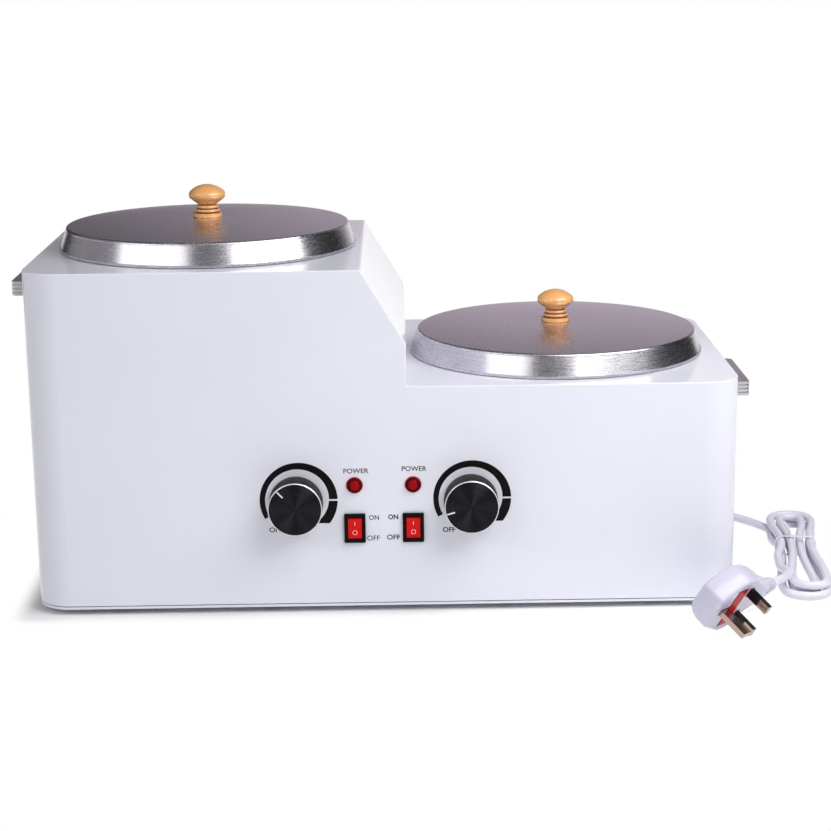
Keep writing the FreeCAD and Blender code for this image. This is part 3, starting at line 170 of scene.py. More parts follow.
def rounded(corners, steps):
    """Closed outline through (x, y, radius) corners, each one turned by an arc of so many steps."""
    points = []
    count = len(corners)
    for i, (x, y, radius) in enumerate(corners):
        here = Vector((x, y))
        back = (Vector(corners[i - 1][:2]) - here).normalized()
        ahead = (Vector(corners[(i + 1) % count][:2]) - here).normalized()
        half = back.angle(ahead) / 2
        reach = radius / math.tan(half)
        centre = here + (back + ahead).normalized() * (radius / math.sin(half))
        first, last = here + back * reach - centre, here + ahead * reach - centre
        begin = math.atan2(first.y, first.x)
        sweep = (math.atan2(last.y, last.x) - begin + math.pi) % (2 * math.pi) - math.pi
        for k in range(steps + 1):
            turn = begin + sweep * k / steps
            points.append((centre.x + radius * math.cos(turn), centre.y + radius * math.sin(turn)))
    return points


def flat_solid(grid, loops, thickness):
    """Closed thin solid between two equal rows of (x, y) points, standing on local z = 0."""
    rings = []
    for height, row in ((0.0, loops[0]), (0.0, loops[1]), (thickness, loops[1]), (thickness, loops[0])):
        rings.append(ring_of(grid, [(x, y, height) for x, y in row]))
    skin(grid, rings + [rings[0]], closed=False, smooth=False)
    for end in (0, -1):
        cap(grid, [ring[end] for ring in rings])


# materials


def stove_enamel():
    # White stove enamel on folded steel: hard, cold white, mirrors the lids, with faint orange peel.
    material, tree, shader, spots = new_material("stove_enamel_white_gloss", "#E5E6EF", {
        "Roughness": 0.06, "IOR": 1.5})
    peel = add_node(tree, "ShaderNodeTexNoise", {
        "Vector": spots.outputs["Object"], "Scale": pitch(2.5), "Detail": 2.0})
    add_node(tree, "ShaderNodeBump", {
        "Strength": 1.0, "Distance": 0.002 * MM, "Height": peel.outputs["Fac"]}, shader.inputs["Normal"])
    smear = add_node(tree, "ShaderNodeTexNoise", {
        "Vector": spots.outputs["Object"], "Scale": pitch(90), "Detail": 5.0, "Roughness": 0.6})
    add_node(tree, "ShaderNodeMix", {
        0: smear.outputs["Fac"], 6: linear("#E1E2EC"), 7: linear("#E8E9F2")},
        shader.inputs["Base Color"], data_type="RGBA")
    add_node(tree, "ShaderNodeMapRange", {
        "Value": smear.outputs["Fac"], "To Min": 0.04, "To Max": 0.09}, shader.inputs["Roughness"])
    return material


# A round piece is taken to be a tenth as tall as it is wide, which the lids nearly are.
FLATNESS = 10


def turned_rings(tree, spots, across, width, along):
    """Fine noise in rings about the middle of a round piece; all sizes are in millimetres."""
    centred = add_node(tree, "ShaderNodeVectorMath", {
        0: spots.outputs["Generated"], 1: (0.5, 0.5, 0.0)}, operation="SUBTRACT")
    apart = add_node(tree, "ShaderNodeSeparateXYZ", {0: centred.outputs[0]})
    flat = add_node(tree, "ShaderNodeCombineXYZ", {0: apart.outputs[0], 1: apart.outputs[1]})
    radius = add_node(tree, "ShaderNodeVectorMath", {0: flat.outputs[0]}, operation="LENGTH")
    turn = add_node(tree, "ShaderNodeMath", {0: apart.outputs[1], 1: apart.outputs[0]}, operation="ARCTAN2")
    rings = add_node(tree, "ShaderNodeMath", {
        0: radius.outputs["Value"], 1: across / width}, operation="MULTIPLY")
    drift = add_node(tree, "ShaderNodeMath", {
        0: turn.outputs[0], 1: across / 2 / along}, operation="MULTIPLY")
    rise = add_node(tree, "ShaderNodeMath", {
        0: apart.outputs[2], 1: across / FLATNESS / width}, operation="MULTIPLY")
    joined = add_node(tree, "ShaderNodeCombineXYZ", {
        0: rings.outputs[0], 1: drift.outputs[0], 2: rise.outputs[0]})
    return add_node(tree, "ShaderNodeTexNoise", {"Vector": joined.outputs[0], "Scale": 1.0, "Detail": 3.0})


def spun_aluminium(across):
    # Sheet aluminium spun on a lathe and left satin: fine tool marks and grit, with light and dark wedges
    # round the wall, where the marks draw each mirrored light out. The flat top is nearly even. The marks are
    # drawn half a millimetre wide, coarser than real ones, so that they show.
    material, tree, shader, spots = new_material("spun_aluminium_satin", "#B9B5B8", {
        "Metallic": 1.0, "Roughness": 0.34, "Anisotropic Rotation": 0.25})
    add_node(tree, "ShaderNodeTangent", {}, shader.inputs["Tangent"], direction_type="RADIAL", axis="Z")
    surface = add_node(tree, "ShaderNodeNewGeometry")
    facing = add_node(tree, "ShaderNodeSeparateXYZ", {0: surface.outputs["Normal"]})
    add_node(tree, "ShaderNodeMapRange", {
        "Value": facing.outputs[2], "From Min": 0.5, "From Max": 0.95, "To Min": 0.55, "To Max": 0.05},
        shader.inputs["Anisotropic"])
    marks = turned_rings(tree, spots, across, 0.5, 12.0)
    grit = add_node(tree, "ShaderNodeTexNoise", {
        "Vector": spots.outputs["Object"], "Scale": pitch(0.7), "Detail": 2.0})
    both = add_node(tree, "ShaderNodeMath", {
        0: marks.outputs["Fac"], 1: grit.outputs["Fac"]}, operation="ADD")
    half = add_node(tree, "ShaderNodeMapRange", {
        "Value": both.outputs[0], "From Min": 0.55, "From Max": 1.45})
    add_node(tree, "ShaderNodeMix", {
        0: half.outputs[0], 6: linear("#BCB9C0"), 7: linear("#E6E3EA")},
        shader.inputs["Base Color"], data_type="RGBA")
    add_node(tree, "ShaderNodeMapRange", {
        "Value": half.outputs[0], "To Min": 0.2, "To Max": 0.35}, shader.inputs["Roughness"])
    add_node(tree, "ShaderNodeBump", {
        "Strength": 1.0, "Distance": 0.014 * MM, "Height": half.outputs[0]}, shader.inputs["Normal"])
    return material


def plain_metal(name, colour, shade, roughness, grain, depth):
    # Plain sheet, wire or screw stock: an even sheen broken by fine scratches, one grain apart.
    material, tree, shader, spots = new_material(name, colour, {"Metallic": 1.0, "Roughness": roughness})
    marks = add_node(tree, "ShaderNodeTexNoise", {
        "Vector": spots.outputs["Object"], "Scale": pitch(grain), "Detail": 4.0})
    add_node(tree, "ShaderNodeMix", {
        0: marks.outputs["Fac"], 6: linear(shade), 7: linear(colour)},
        shader.inputs["Base Color"], data_type="RGBA")
    add_node(tree, "ShaderNodeMapRange", {
        "Value": marks.outputs["Fac"], "To Min": 0.8 * roughness, "To Max": 1.25 * roughness},
        shader.inputs["Roughness"])
    add_node(tree, "ShaderNodeBump", {
        "Strength": 1.0, "Distance": depth * MM, "Height": marks.outputs["Fac"]}, shader.inputs["Normal"])
    return material


SAWN_METALLIC = 0.35


def drawn_metal(name, colour, shade, roughness, width, length, run, sawn=None):
    # Metal drawn or extruded along one axis: long fine lines of that width and length. Sawn ends, where it
    # has them, are rough and look matt and paler.
    material, tree, shader, spots = new_material(name, colour, {
        "Metallic": 1.0, "Roughness": roughness, "Anisotropic": 0.4})
    scale = [pitch(length if axis == run else width) for axis in range(3)]
    lines = add_node(tree, "ShaderNodeVectorMath", {
        0: spots.outputs["Object"], 1: scale}, operation="MULTIPLY")
    marks = add_node(tree, "ShaderNodeTexNoise", {"Vector": lines.outputs[0], "Scale": 1.0, "Detail": 3.0})
    add_node(tree, "ShaderNodeMix", {
        0: marks.outputs["Fac"], 6: linear(shade), 7: linear(colour)},
        shader.inputs["Base Color"], data_type="RGBA")
    add_node(tree, "ShaderNodeBump", {
        "Strength": 1.0, "Distance": 0.01 * MM, "Height": marks.outputs["Fac"]}, shader.inputs["Normal"])
    if sawn is None:
        add_node(tree, "ShaderNodeMapRange", {
            "Value": marks.outputs["Fac"], "To Min": 0.8 * roughness, "To Max": 1.25 * roughness},
            shader.inputs["Roughness"])
        return material
    surface = add_node(tree, "ShaderNodeNewGeometry")
    facing = add_node(tree, "ShaderNodeSeparateXYZ", {0: surface.outputs["Normal"]})
    cut = add_node(tree, "ShaderNodeMath", {0: facing.outputs[run]}, operation="ABSOLUTE")
    for socket, along, across in (("Roughness", roughness, sawn), ("Metallic", 1.0, SAWN_METALLIC)):
        add_node(tree, "ShaderNodeMapRange", {
            "Value": cut.outputs[0], "From Min": 0.8, "From Max": 0.95, "To Min": along, "To Max": across},
            shader.inputs[socket])
    return material


# Heights of the knob's turned grooves above its foot, and half the height of the painted shade lines in them.
KNOB_GROOVES = (3.45, 6.3, 9.2)
GROOVE_SHADE_HALF = 0.45


def varnished_beech():
    # Turned beech under clear gloss varnish: honey brown, upright grain, short dark flecks, painted shade as
    # dark lines in the turned grooves, wet highlights.
    material, tree, shader, spots = new_material("beech_clear_varnish", "#D79A4F", {
        "Roughness": 0.38, "IOR": 1.5, "Coat Weight": 1.0, "Coat IOR": 1.6, "Coat Roughness": 0.05})
    grain_space = add_node(tree, "ShaderNodeVectorMath", {
        0: spots.outputs["Object"], 1: (pitch(1.1), pitch(1.1), pitch(9.0))}, operation="MULTIPLY")
    grain = add_node(tree, "ShaderNodeTexNoise", {
        "Vector": grain_space.outputs[0], "Scale": 1.0, "Detail": 4.0, "Distortion": 0.6})
    fleck_space = add_node(tree, "ShaderNodeVectorMath", {
        0: spots.outputs["Object"], 1: (pitch(0.45), pitch(0.45), pitch(2.4))}, operation="MULTIPLY")
    fleck = add_node(tree, "ShaderNodeTexVoronoi", {"Vector": fleck_space.outputs[0], "Scale": 1.0})
    dark = add_node(tree, "ShaderNodeMapRange", {
        "Value": fleck.outputs["Distance"], "From Min": 0.05, "From Max": 0.3})
    wood = add_node(tree, "ShaderNodeMix", {
        0: grain.outputs["Fac"], 6: linear("#D98A38"), 7: linear("#FFC985")}, data_type="RGBA")
    flecked = add_node(tree, "ShaderNodeMix", {
        0: dark.outputs["Result"], 6: linear("#C2702A"), 7: wood.outputs[2]}, data_type="RGBA")
    height = add_node(tree, "ShaderNodeSeparateXYZ", {0: spots.outputs["Generated"]})
    groove_shaded = flecked
    # Painted shade: a dark brown line is laid round each turned groove.
    for groove in KNOB_GROOVES:
        groove_shade_line = add_node(tree, "ShaderNodeMath", {
            0: height.outputs[2], 1: groove / KNOB_TALL, 2: GROOVE_SHADE_HALF / KNOB_TALL}, operation="COMPARE")
        groove_shaded = add_node(tree, "ShaderNodeMix", {
            0: groove_shade_line.outputs[0], 6: groove_shaded.outputs[2], 7: linear("#7A431A")}, data_type="RGBA")
    tree.links.new(groove_shaded.outputs[2], shader.inputs["Base Color"])
    add_node(tree, "ShaderNodeBump", {
        "Strength": 1.0, "Distance": 0.01 * MM, "Height": grain.outputs["Fac"]}, shader.inputs["Normal"])
    return material


DIAL_ACROSS = 38.0


def anodised_face():
    # Turned and black anodised: the lathe's rings gather each light into two bright wedges across the face.
    material, tree, shader, spots = new_material("aluminium_black_anodised_turned", "#2A2A2D", {
        "Metallic": 1.0, "Roughness": 0.46, "Anisotropic": 1.0, "Anisotropic Rotation": 0.25})
    add_node(tree, "ShaderNodeTangent", {}, shader.inputs["Tangent"], direction_type="RADIAL", axis="Z")
    marks = turned_rings(tree, spots, DIAL_ACROSS, 0.35, 40.0)
    add_node(tree, "ShaderNodeMix", {
        0: marks.outputs["Fac"], 6: linear("#202023"), 7: linear("#38383C")},
        shader.inputs["Base Color"], data_type="RGBA")
    return material


def moulded(name, colour, shade, roughness, grain, depth, values=None):
    # Moulded plastic or rubber, ink or cloth: even colour, with the faint grain of its own surface.
    material, tree, shader, spots = new_material(name, colour, {
        "Roughness": roughness, "IOR": 1.49, **(values or {})})
    skin_grain = add_node(tree, "ShaderNodeTexNoise", {
        "Vector": spots.outputs["Object"], "Scale": pitch(grain), "Detail": 3.0})
    add_node(tree, "ShaderNodeBump", {
        "Strength": 1.0, "Distance": depth * MM, "Height": skin_grain.outputs["Fac"]},
        shader.inputs["Normal"])
    cloud = add_node(tree, "ShaderNodeTexNoise", {
        "Vector": spots.outputs["Object"], "Scale": pitch(18), "Detail": 3.0})
    add_node(tree, "ShaderNodeMix", {
        0: cloud.outputs["Fac"], 6: linear(shade), 7: linear(colour)},
        shader.inputs["Base Color"], data_type="RGBA")
    add_node(tree, "ShaderNodeMapRange", {
        "Value": cloud.outputs["Fac"], "To Min": 0.85 * roughness, "To Max": 1.2 * roughness},
        shader.inputs["Roughness"])
    return material


def glass_cloth():
    # Woven glass tape round the heaters: pale, matt, with threads about a millimetre apart.
    material, tree, shader, spots = new_material("glass_tape_woven", "#DAD6C6", {
        "Roughness": 0.85, "Sheen Weight": 0.3})
    weave = add_node(tree, "ShaderNodeTexBrick", {
        "Vector": spots.outputs["Object"], "Scale": pitch(2.0), "Mortar Size": 0.12,
        "Color1": linear("#E2DECF"), "Color2": linear("#D2CDBB"), "Mortar": linear("#A8A390")},
        shader.inputs["Base Color"])
    add_node(tree, "ShaderNodeBump", {
        "Strength": 1.0, "Distance": 0.1 * MM, "Height": weave.outputs["Fac"]}, shader.inputs["Normal"])
    return material


# Radii between which a pilot lens turns from dome to the painted shade of its groove, and from groove to
# flange.
DOME_EDGE = (3.0, 3.7)
FLANGE_EDGE = (4.7, 5.3)


def pilot_red():
    # Clear red polycarbonate over an unlit lamp: the dome keeps the lens colour, the groove round it is
    # coloured dark as painted shade, and the flange a little darker.
    material, tree, shader, spots = new_material("polycarbonate_red_clear", "#A80E10", {
        "Roughness": 0.4, "IOR": 1.58, "Specular IOR Level": 0.05})
    apart = add_node(tree, "ShaderNodeSeparateXYZ", {0: spots.outputs["Object"]})
    low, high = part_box("pilot_lenses")
    lens_z = (low.z + high.z) / 2
    flange = (high.z - low.z) / 2
    near = []
    for lens_x in (low.x + flange, high.x - flange):
        apart_x = add_node(tree, "ShaderNodeMath", {0: apart.outputs[0], 1: lens_x}, operation="SUBTRACT")
        near.append(add_node(tree, "ShaderNodeMath", {0: apart_x.outputs[0]}, operation="ABSOLUTE"))
    sideways = add_node(tree, "ShaderNodeMath", {
        0: near[0].outputs[0], 1: near[1].outputs[0]}, operation="MINIMUM")
    upward = add_node(tree, "ShaderNodeMath", {0: apart.outputs[2], 1: lens_z}, operation="SUBTRACT")
    flat = add_node(tree, "ShaderNodeCombineXYZ", {0: sideways.outputs[0], 1: upward.outputs[0]})
    radius = add_node(tree, "ShaderNodeVectorMath", {0: flat.outputs[0]}, operation="LENGTH")
    # Painted shade: the groove between the dome and the flange is coloured dark.
    lens_groove_shade = add_node(tree, "ShaderNodeMapRange", {
        "Value": radius.outputs["Value"], "From Min": DOME_EDGE[0] * MM, "From Max": DOME_EDGE[1] * MM})
    edge = add_node(tree, "ShaderNodeMapRange", {
        "Value": radius.outputs["Value"], "From Min": FLANGE_EDGE[0] * MM, "From Max": FLANGE_EDGE[1] * MM})
    dome = add_node(tree, "ShaderNodeMix", {
        0: lens_groove_shade.outputs["Result"], 6: linear("#A0060B"), 7: linear("#42040A")}, data_type="RGBA")
    add_node(tree, "ShaderNodeMix", {
        0: edge.outputs["Result"], 6: dome.outputs[2], 7: linear("#8A0B0F")},
        shader.inputs["Base Color"], data_type="RGBA")
    return material


# Metres from the case at which the floor has turned plain white.
SHADOW_REACH = 0.022
# Stretch of y, in metres, over which that white fades in mirrors, and the share left of it in front.
MIRROR_FADE = (-1.0, -0.55)
MIRROR_DARK = 0.1


def stage_floor_paint():
    # Matt white studio floor: it shows the object's shadow, and fades to plain white away from it.
    material = bpy.data.materials.new("studio_floor_white")
    material.use_nodes = True
    tree = material.node_tree
    tree.nodes.clear()
    place = add_node(tree, "ShaderNodeNewGeometry")
    low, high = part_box("case_wrap")
    middle, half = (low + high) / 2, (high - low) / 2
    offset = add_node(tree, "ShaderNodeVectorMath", {
        0: place.outputs["Position"], 1: (middle.x, middle.y, 0)}, operation="SUBTRACT")
    spread = add_node(tree, "ShaderNodeVectorMath", {0: offset.outputs[0]}, operation="ABSOLUTE")
    past = add_node(tree, "ShaderNodeVectorMath", {
        0: spread.outputs[0], 1: (half.x, half.y, 1)}, operation="SUBTRACT")
    beyond = add_node(tree, "ShaderNodeVectorMath", {0: past.outputs[0], 1: (0, 0, 0)}, operation="MAXIMUM")
    away = add_node(tree, "ShaderNodeVectorMath", {0: beyond.outputs[0]}, operation="LENGTH")
    far = add_node(tree, "ShaderNodeMapRange", {
        "Value": away.outputs["Value"], "From Min": 0.0, "From Max": SHADOW_REACH},
        interpolation_type="SMOOTHERSTEP")
    path = add_node(tree, "ShaderNodeLightPath")
    where = add_node(tree, "ShaderNodeSeparateXYZ", {0: place.outputs["Position"]})
    table = add_node(tree, "ShaderNodeMapRange", {
        "Value": where.outputs[1], "From Min": MIRROR_FADE[0], "From Max": MIRROR_FADE[1],
        "To Min": MIRROR_DARK, "To Max": 1.0})
    mirrored = add_node(tree, "ShaderNodeMath", {
        0: path.outputs["Is Glossy Ray"], 1: table.outputs["Result"]}, operation="MULTIPLY")
    seen = add_node(tree, "ShaderNodeMath", {
        0: path.outputs["Is Camera Ray"], 1: mirrored.outputs[0]}, operation="MAXIMUM")
    shown = add_node(tree, "ShaderNodeMath", {
        0: seen.outputs[0], 1: path.outputs["Is Transmission Ray"]}, operation="MAXIMUM")
    share = add_node(tree, "ShaderNodeMath", {
        0: shown.outputs[0], 1: far.outputs["Result"]}, operation="MULTIPLY")
    matt = add_node(tree, "ShaderNodeBsdfDiffuse", {"Color": linear("#F6F6F7")})
    white = add_node(tree, "ShaderNodeEmission", {"Color": (1, 1, 1, 1), "Strength": 1.0})
    mix = add_node(tree, "ShaderNodeMixShader", {
        0: share.outputs[0], 1: matt.outputs[0], 2: white.outputs[0]})
    add_node(tree, "ShaderNodeOutputMaterial", {"Surface": mix.outputs[0]})
    return material


KNOB_TALL = (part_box("left_lid_knob")[1].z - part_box("left_lid_knob")[0].z) / MM
LID_ACROSS = (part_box("left_lid")[1].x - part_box("left_lid")[0].x) / MM
enamel = stove_enamel()
lid_metal = spun_aluminium(LID_ACROSS)
beech = varnished_beech()
zinc = plain_metal("steel_bright_zinc_plate", "#C4C6C8", "#A4A7AA", 0.3, 0.8, 0.004)
pot_metal = drawn_metal("aluminium_deep_drawn", "#D2D1D3", "#B8B7BA", 0.3, 0.6, 14.0, 2)
well_metal = drawn_metal("aluminium_deep_drawn_dull", "#B9B9BB", "#9A9A9D", 0.42, 0.8, 18.0, 2)
nickel = plain_metal("steel_wire_nickel_plate", "#D5D3CE", "#C2BFB9", 0.16, 1.5, 0.003)
handle_metal = drawn_metal("aluminium_extruded_satin", "#DAD8DC", "#C0BEC3", 0.38, 0.4, 25.0, 1, 0.62)
heater_metal = plain_metal("steel_heater_sheath", "#9C9A98", "#6F6A66", 0.45, 6.0, 0.02)
shaft_metal = plain_metal("steel_turned_shaft", "#BFC0C2", "#9FA1A4", 0.28, 0.5, 0.004)
copper = plain_metal("copper_capillary_drawn", "#C98B63", "#8E5638", 0.32, 3.0, 0.005)
dial_face = anodised_face()
dial_side = plain_metal("aluminium_black_anodised_knurled", "#0C0C0F", "#070709", 0.4, 0.6, 0.004)
dial_edge = plain_metal("aluminium_diamond_cut", "#EDEDF0", "#DCDCE0", 0.45, 0.5, 0.002)
ink = moulded("screen_ink_black", "#0A0A0C", "#070708", 0.55, 0.3, 0.003, {"Specular IOR Level": 0.15})
pale_ink = moulded("pad_print_white", "#EDEBEA", "#E2DFDF", 0.4, 0.3, 0.002)
black_nylon = moulded("nylon_black_moulded", "#08080A", "#050506", 0.45, 0.5, 0.012,
                      {"Specular IOR Level": 0.12})
red_nylon = moulded("nylon_red_moulded", "#E21212", "#D60E0E", 0.35, 0.6, 0.006,
                    {"Specular IOR Level": 0.1})
lens_red = pilot_red()
rubber = moulded("rubber_black_moulded", "#242426", "#19191B", 0.7, 0.7, 0.03)
vinyl = moulded("vinyl_white_extruded", "#E4E2EC", "#DAD8E6", 0.34, 1.2, 0.01,
                {"Subsurface Weight": 0.15, "Subsurface Radius": (0.003, 0.003, 0.0035)})
plug_vinyl = moulded("vinyl_white_moulded", "#D2CFE2", "#C9C6DA", 0.26, 0.9, 0.008,
                     {"Subsurface Weight": 0.12, "Subsurface Radius": (0.003, 0.003, 0.0035)})
tie_vinyl = moulded("vinyl_tie_white", "#F0EFF6", "#E6E4EF", 0.3, 0.8, 0.01)
carrier_red = moulded("polyamide_red_moulded", "#D0161C", "#BE1117", 0.32, 0.6, 0.008,
                      {"Specular IOR Level": 0.08})
# Black of the pin sleeves, also used for the painted shade sheets on the plug's face.
sleeve_and_gap_shade_black = moulded("polyamide_black_sleeve_and_gap_shade", "#0E0D0F", "#09080A", 0.3, 0.6, 0.006,
                       {"Specular IOR Level": 0.3})
pin_brass = plain_metal("brass_nickel_flash", "#C6B1A6", "#B49D92", 0.2, 9.0, 0.002)
natural_nylon = moulded("nylon_natural_moulded", "#DAD7CC", "#CFCABB", 0.42, 0.7, 0.01)
glass_tape = glass_cloth()
live_brown = moulded("silicone_sleeve_brown", "#5A3A28", "#4A2E1F", 0.5, 0.5, 0.01)
neutral_blue = moulded("silicone_sleeve_blue", "#2A5FA8", "#234F8D", 0.5, 0.5, 0.01)
flag_cloth = moulded("cotton_black_flag", "#303032", "#28282A", 0.9, 1.0, 0.1)
earth_green = moulded("silicone_sleeve_green", "#5E9A3A", "#4A8430", 0.5, 0.5, 0.01)

FINISHES = {
    enamel: ["case_wrap", "case_deck", "bottom_plate"],
    zinc: ["bottom_plate_screws", "foot_screws", "thermostat_screws", "handle_screws", "band_heater_bolts",
           "left_lid_screw", "right_lid_screw", "left_knob_grub_screw", "right_knob_grub_screw",
           "lamp_clips", "earth_stud", "well_rivets"],
    rubber: ["rubber_feet"],
    well_metal: ["left_heating_well", "right_heating_well"],
    pot_metal: ["left_wax_pot", "right_wax_pot"],
    nickel: ["left_pot_bail", "right_pot_bail"],
    lid_metal: ["left_lid", "right_lid"],
    beech: ["left_lid_knob", "right_lid_knob"],
    heater_metal: ["band_heaters"],
    glass_tape: ["insulation_wraps"],
    black_nylon: ["thermal_cutouts", "left_thermostat", "right_thermostat", "left_switch_body",
                  "right_switch_body", "pilot_lamp_bodies"],
    dial_side: ["left_temperature_knob", "right_temperature_knob"],
    shaft_metal: ["left_thermostat_shaft", "right_thermostat_shaft"],
    red_nylon: ["left_rocker", "right_rocker"],
    lens_red: ["pilot_lenses"],
    handle_metal: ["left_handle", "right_handle"],
    natural_nylon: ["terminal_block", "gland_nut"],
    copper: ["thermostat_sensors"],
    live_brown: ["live_wires"],
    neutral_blue: ["neutral_wires"],
    earth_green: ["earth_wire"],
    vinyl: ["cord_gland", "inner_cord", "cord_lead", "cord_hank", "cord_tail"],
    tie_vinyl: ["hank_tie"],
    plug_vinyl: ["plug_body"],
    carrier_red: ["plug_fuse_carrier"],
    pin_brass: ["plug_pins"],
    sleeve_and_gap_shade_black: ["plug_pin_sleeves"],
}


def paint_frame():
    for material, names in FINISHES.items():
        for name in names:
            nodes[name].data.materials.clear()
            nodes[name].data.materials.append(material)


# mains lead: one spline along the route of the solids

CORD_RADIUS = 3.1
CORD_EXIT = (130, 161.5, 36)
LEAD_ROUTE = [CORD_EXIT, (130, 195.5, 36), (152, 223.5, 20), (190, 217.5, 4.0), (230, 169.5, 3.2),
              (262, 122, 3.2)]
HANK_WAIST = Vector((316, 1, 0))
HANK_TURN = Matrix.Rotation(math.radians(-7), 4, "Z")
HANK_LEAD = 32.0
HANK_BACK = 57.0
HANK_FRONT = -93.0
HANK_TAIL = -45.0
HANK_OUTER = 17.85
HANK_STEP = 3.75
HANK_DRAW = 5.0
HANK_LOW = 4.8
HANK_TOP = 11.6
HANK_RUNS = 7
NEAR_FOLD = 0.75
NEAR_WAIST = 0.28
FOLD_POINTS = 5
LEAD_RUN_IN = 28.0
TAIL_RUN_OUT = 24.0
PLUG_RUN_IN = 30.0
PLUG_PLACE = (Matrix.Translation((243.25, -168.2, 21.65)) @ Matrix.Rotation(math.radians(45.1), 4, "Z")
              @ Matrix.Rotation(math.radians(122.5), 4, "X"))
PLUG_BOOT_AXIS = -5.4
PLUG_BOOT_END = 41.0
PLUG_CORD_END = PLUG_PLACE @ Vector((PLUG_BOOT_END, 0, PLUG_BOOT_AXIS))
PLUG_ALONG = PLUG_PLACE.to_3x3() @ Vector((1, 0, 0))
PIN_ROW = 11.1
# Painted shade, as thin black sheets on the plug's face where the gap round each part is: x, y, width
# and length, for the fuse carrier, the earth pin and the live pins.
PLUG_GAP_SHADES = [(-11.3, 0, 11.4, 34.4), (-22.2, 0, 9.6, 5.6), (0, PIN_ROW, 5.6, 8.0), (0, -PIN_ROW, 5.6, 8.0)]
GAP_SHADE_THICK = 0.12


def on_hank(across, along, up):
    """Spot given across, along and above the hank, from the middle of its waist."""
    return HANK_WAIST + HANK_TURN @ Vector((across, along, up))


def hank_route():
    """Runs drawn in at the waist, joined by round folds: in on the low layer, out on the top one."""
    points = []
    climb_run = HANK_RUNS // 2
    for run in range(HANK_RUNS):
        loop = HANK_OUTER - HANK_STEP * min(run, 2 * climb_run - run)
        side = -1 if run % 2 == 0 else 1
        start, stop = (HANK_BACK, HANK_FRONT) if side < 0 else (HANK_FRONT, HANK_BACK)
        if run == 0:
            start = HANK_LEAD
        if run == HANK_RUNS - 1:
            stop = HANK_TAIL
        stations = ((start, NEAR_FOLD, 0), (start, NEAR_WAIST, HANK_DRAW),
                    (stop, NEAR_WAIST, HANK_DRAW), (stop, NEAR_FOLD, 0))
        for order, (end, share, draw) in enumerate(stations):
            layer = 0.0 if run < climb_run else 1.0
            if run == climb_run:
                layer = order / 3
            points.append((side * (loop - draw), share * end, HANK_LOW + layer * (HANK_TOP - HANK_LOW)))
        if run == HANK_RUNS - 1:
            break
        following = HANK_OUTER - HANK_STEP * min(run + 1, 2 * climb_run - run - 1)
        outside = math.cos(math.pi / (2 * FOLD_POINTS))
        for k in range(FOLD_POINTS):
            turn = math.pi * (k + 0.5) / FOLD_POINTS
            reach = (loop + (following - loop) * turn / math.pi) / outside
            points.append((side * reach * math.cos(turn), stop + math.copysign(reach, stop) * math.sin(turn),
                           points[-1][2]))
    return [on_hank(*point) for point in points]


def make_cord():
    lead_in = [on_hank(-HANK_OUTER, HANK_LEAD + LEAD_RUN_IN, HANK_LOW),
               on_hank(-HANK_OUTER, HANK_LEAD, HANK_LOW)]
    tail = [on_hank(-HANK_OUTER, HANK_TAIL, HANK_TOP),
            on_hank(-HANK_OUTER, HANK_TAIL - TAIL_RUN_OUT, HANK_TOP),
            PLUG_CORD_END + PLUG_RUN_IN * PLUG_ALONG, PLUG_CORD_END]
    route = LEAD_ROUTE + lead_in + hank_route() + tail
    curve = bpy.data.curves.new("mains_lead", "CURVE")
    curve.dimensions = "3D"
    curve.bevel_depth = CORD_RADIUS * MM
    curve.bevel_resolution = 6
    curve.resolution_u = 8
    curve.use_fill_caps = True
    spline = curve.splines.new("NURBS")
    spline.points.add(len(route) - 1)
    for point, spot in zip(spline.points, route):
        point.co = [c * MM for c in spot] + [1.0]
    spline.order_u = 3
    spline.use_endpoint_u = True
    curve.materials.append(vinyl)
    lead = bpy.data.objects.new("mains_lead", curve)
    scene.collection.objects.link(lead)
    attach(lead, "case")
    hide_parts("cord_lead", "cord_hank", "cord_tail")
    return lead


def make_tie():
    """Flat twist tie drawn round the waist of the hank, its two ends twisted together on top."""
    wide, thick, corner = 2.4, 0.9, 5.0
    slack, under, pressed = 0.7, 0.5, 0.4
    left = -(HANK_OUTER - HANK_DRAW + CORD_RADIUS + slack)
    right = HANK_OUTER - HANK_STEP - HANK_DRAW + CORD_RADIUS + slack
    low, high = HANK_LOW - CORD_RADIUS - under, HANK_TOP + CORD_RADIUS + slack
    turns, tall, steps = 2.5, 13.0, 40
    twist_x, twist, strand_radius = -6.0, 0.7, 0.75
    lean_left, lean_front = 6.0, 2.5

    def build(grid):
        corners = [(left, low, corner), (right, low, corner), (right, high, corner), (left, high, corner)]
        rows = []
        for grow in (0.0, thick):
            grown = [(x + math.copysign(grow, x), z + (grow if z == high else -pressed * grow), radius + grow)
                     for x, z, radius in corners]
            rows.append(rounded(grown, 6))
        rings = []
        for row, y in ((rows[0], -wide / 2), (rows[1], -wide / 2), (rows[1], wide / 2), (rows[0], wide / 2)):
            rings.append(ring_of(grid, [on_hank(x, y, z) * MM for x, z in row]))
        skin(grid, rings + [rings[0]], smooth=True)
        for phase in (0.0, math.pi):
            strand = []
            for k in range(steps + 1):
                up = k / steps
                angle = phase + turns * 2 * math.pi * up
                middle = Vector((twist_x + twist * math.cos(angle) - lean_left * up * up,
                                 twist * math.sin(angle) - lean_front * up, high + tall * up))
                around = [middle + p for p in circle(strand_radius, 8)]
                strand.append(ring_of(grid, [on_hank(*spot) * MM for spot in around]))
            skin(grid, strand, smooth=True)
            cap(grid, strand[0])
            cap(grid, strand[-1])

    tie = mesh_piece("hank_twist_tie", build, tie_vinyl, "case")
    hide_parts("hank_tie")
    return tie


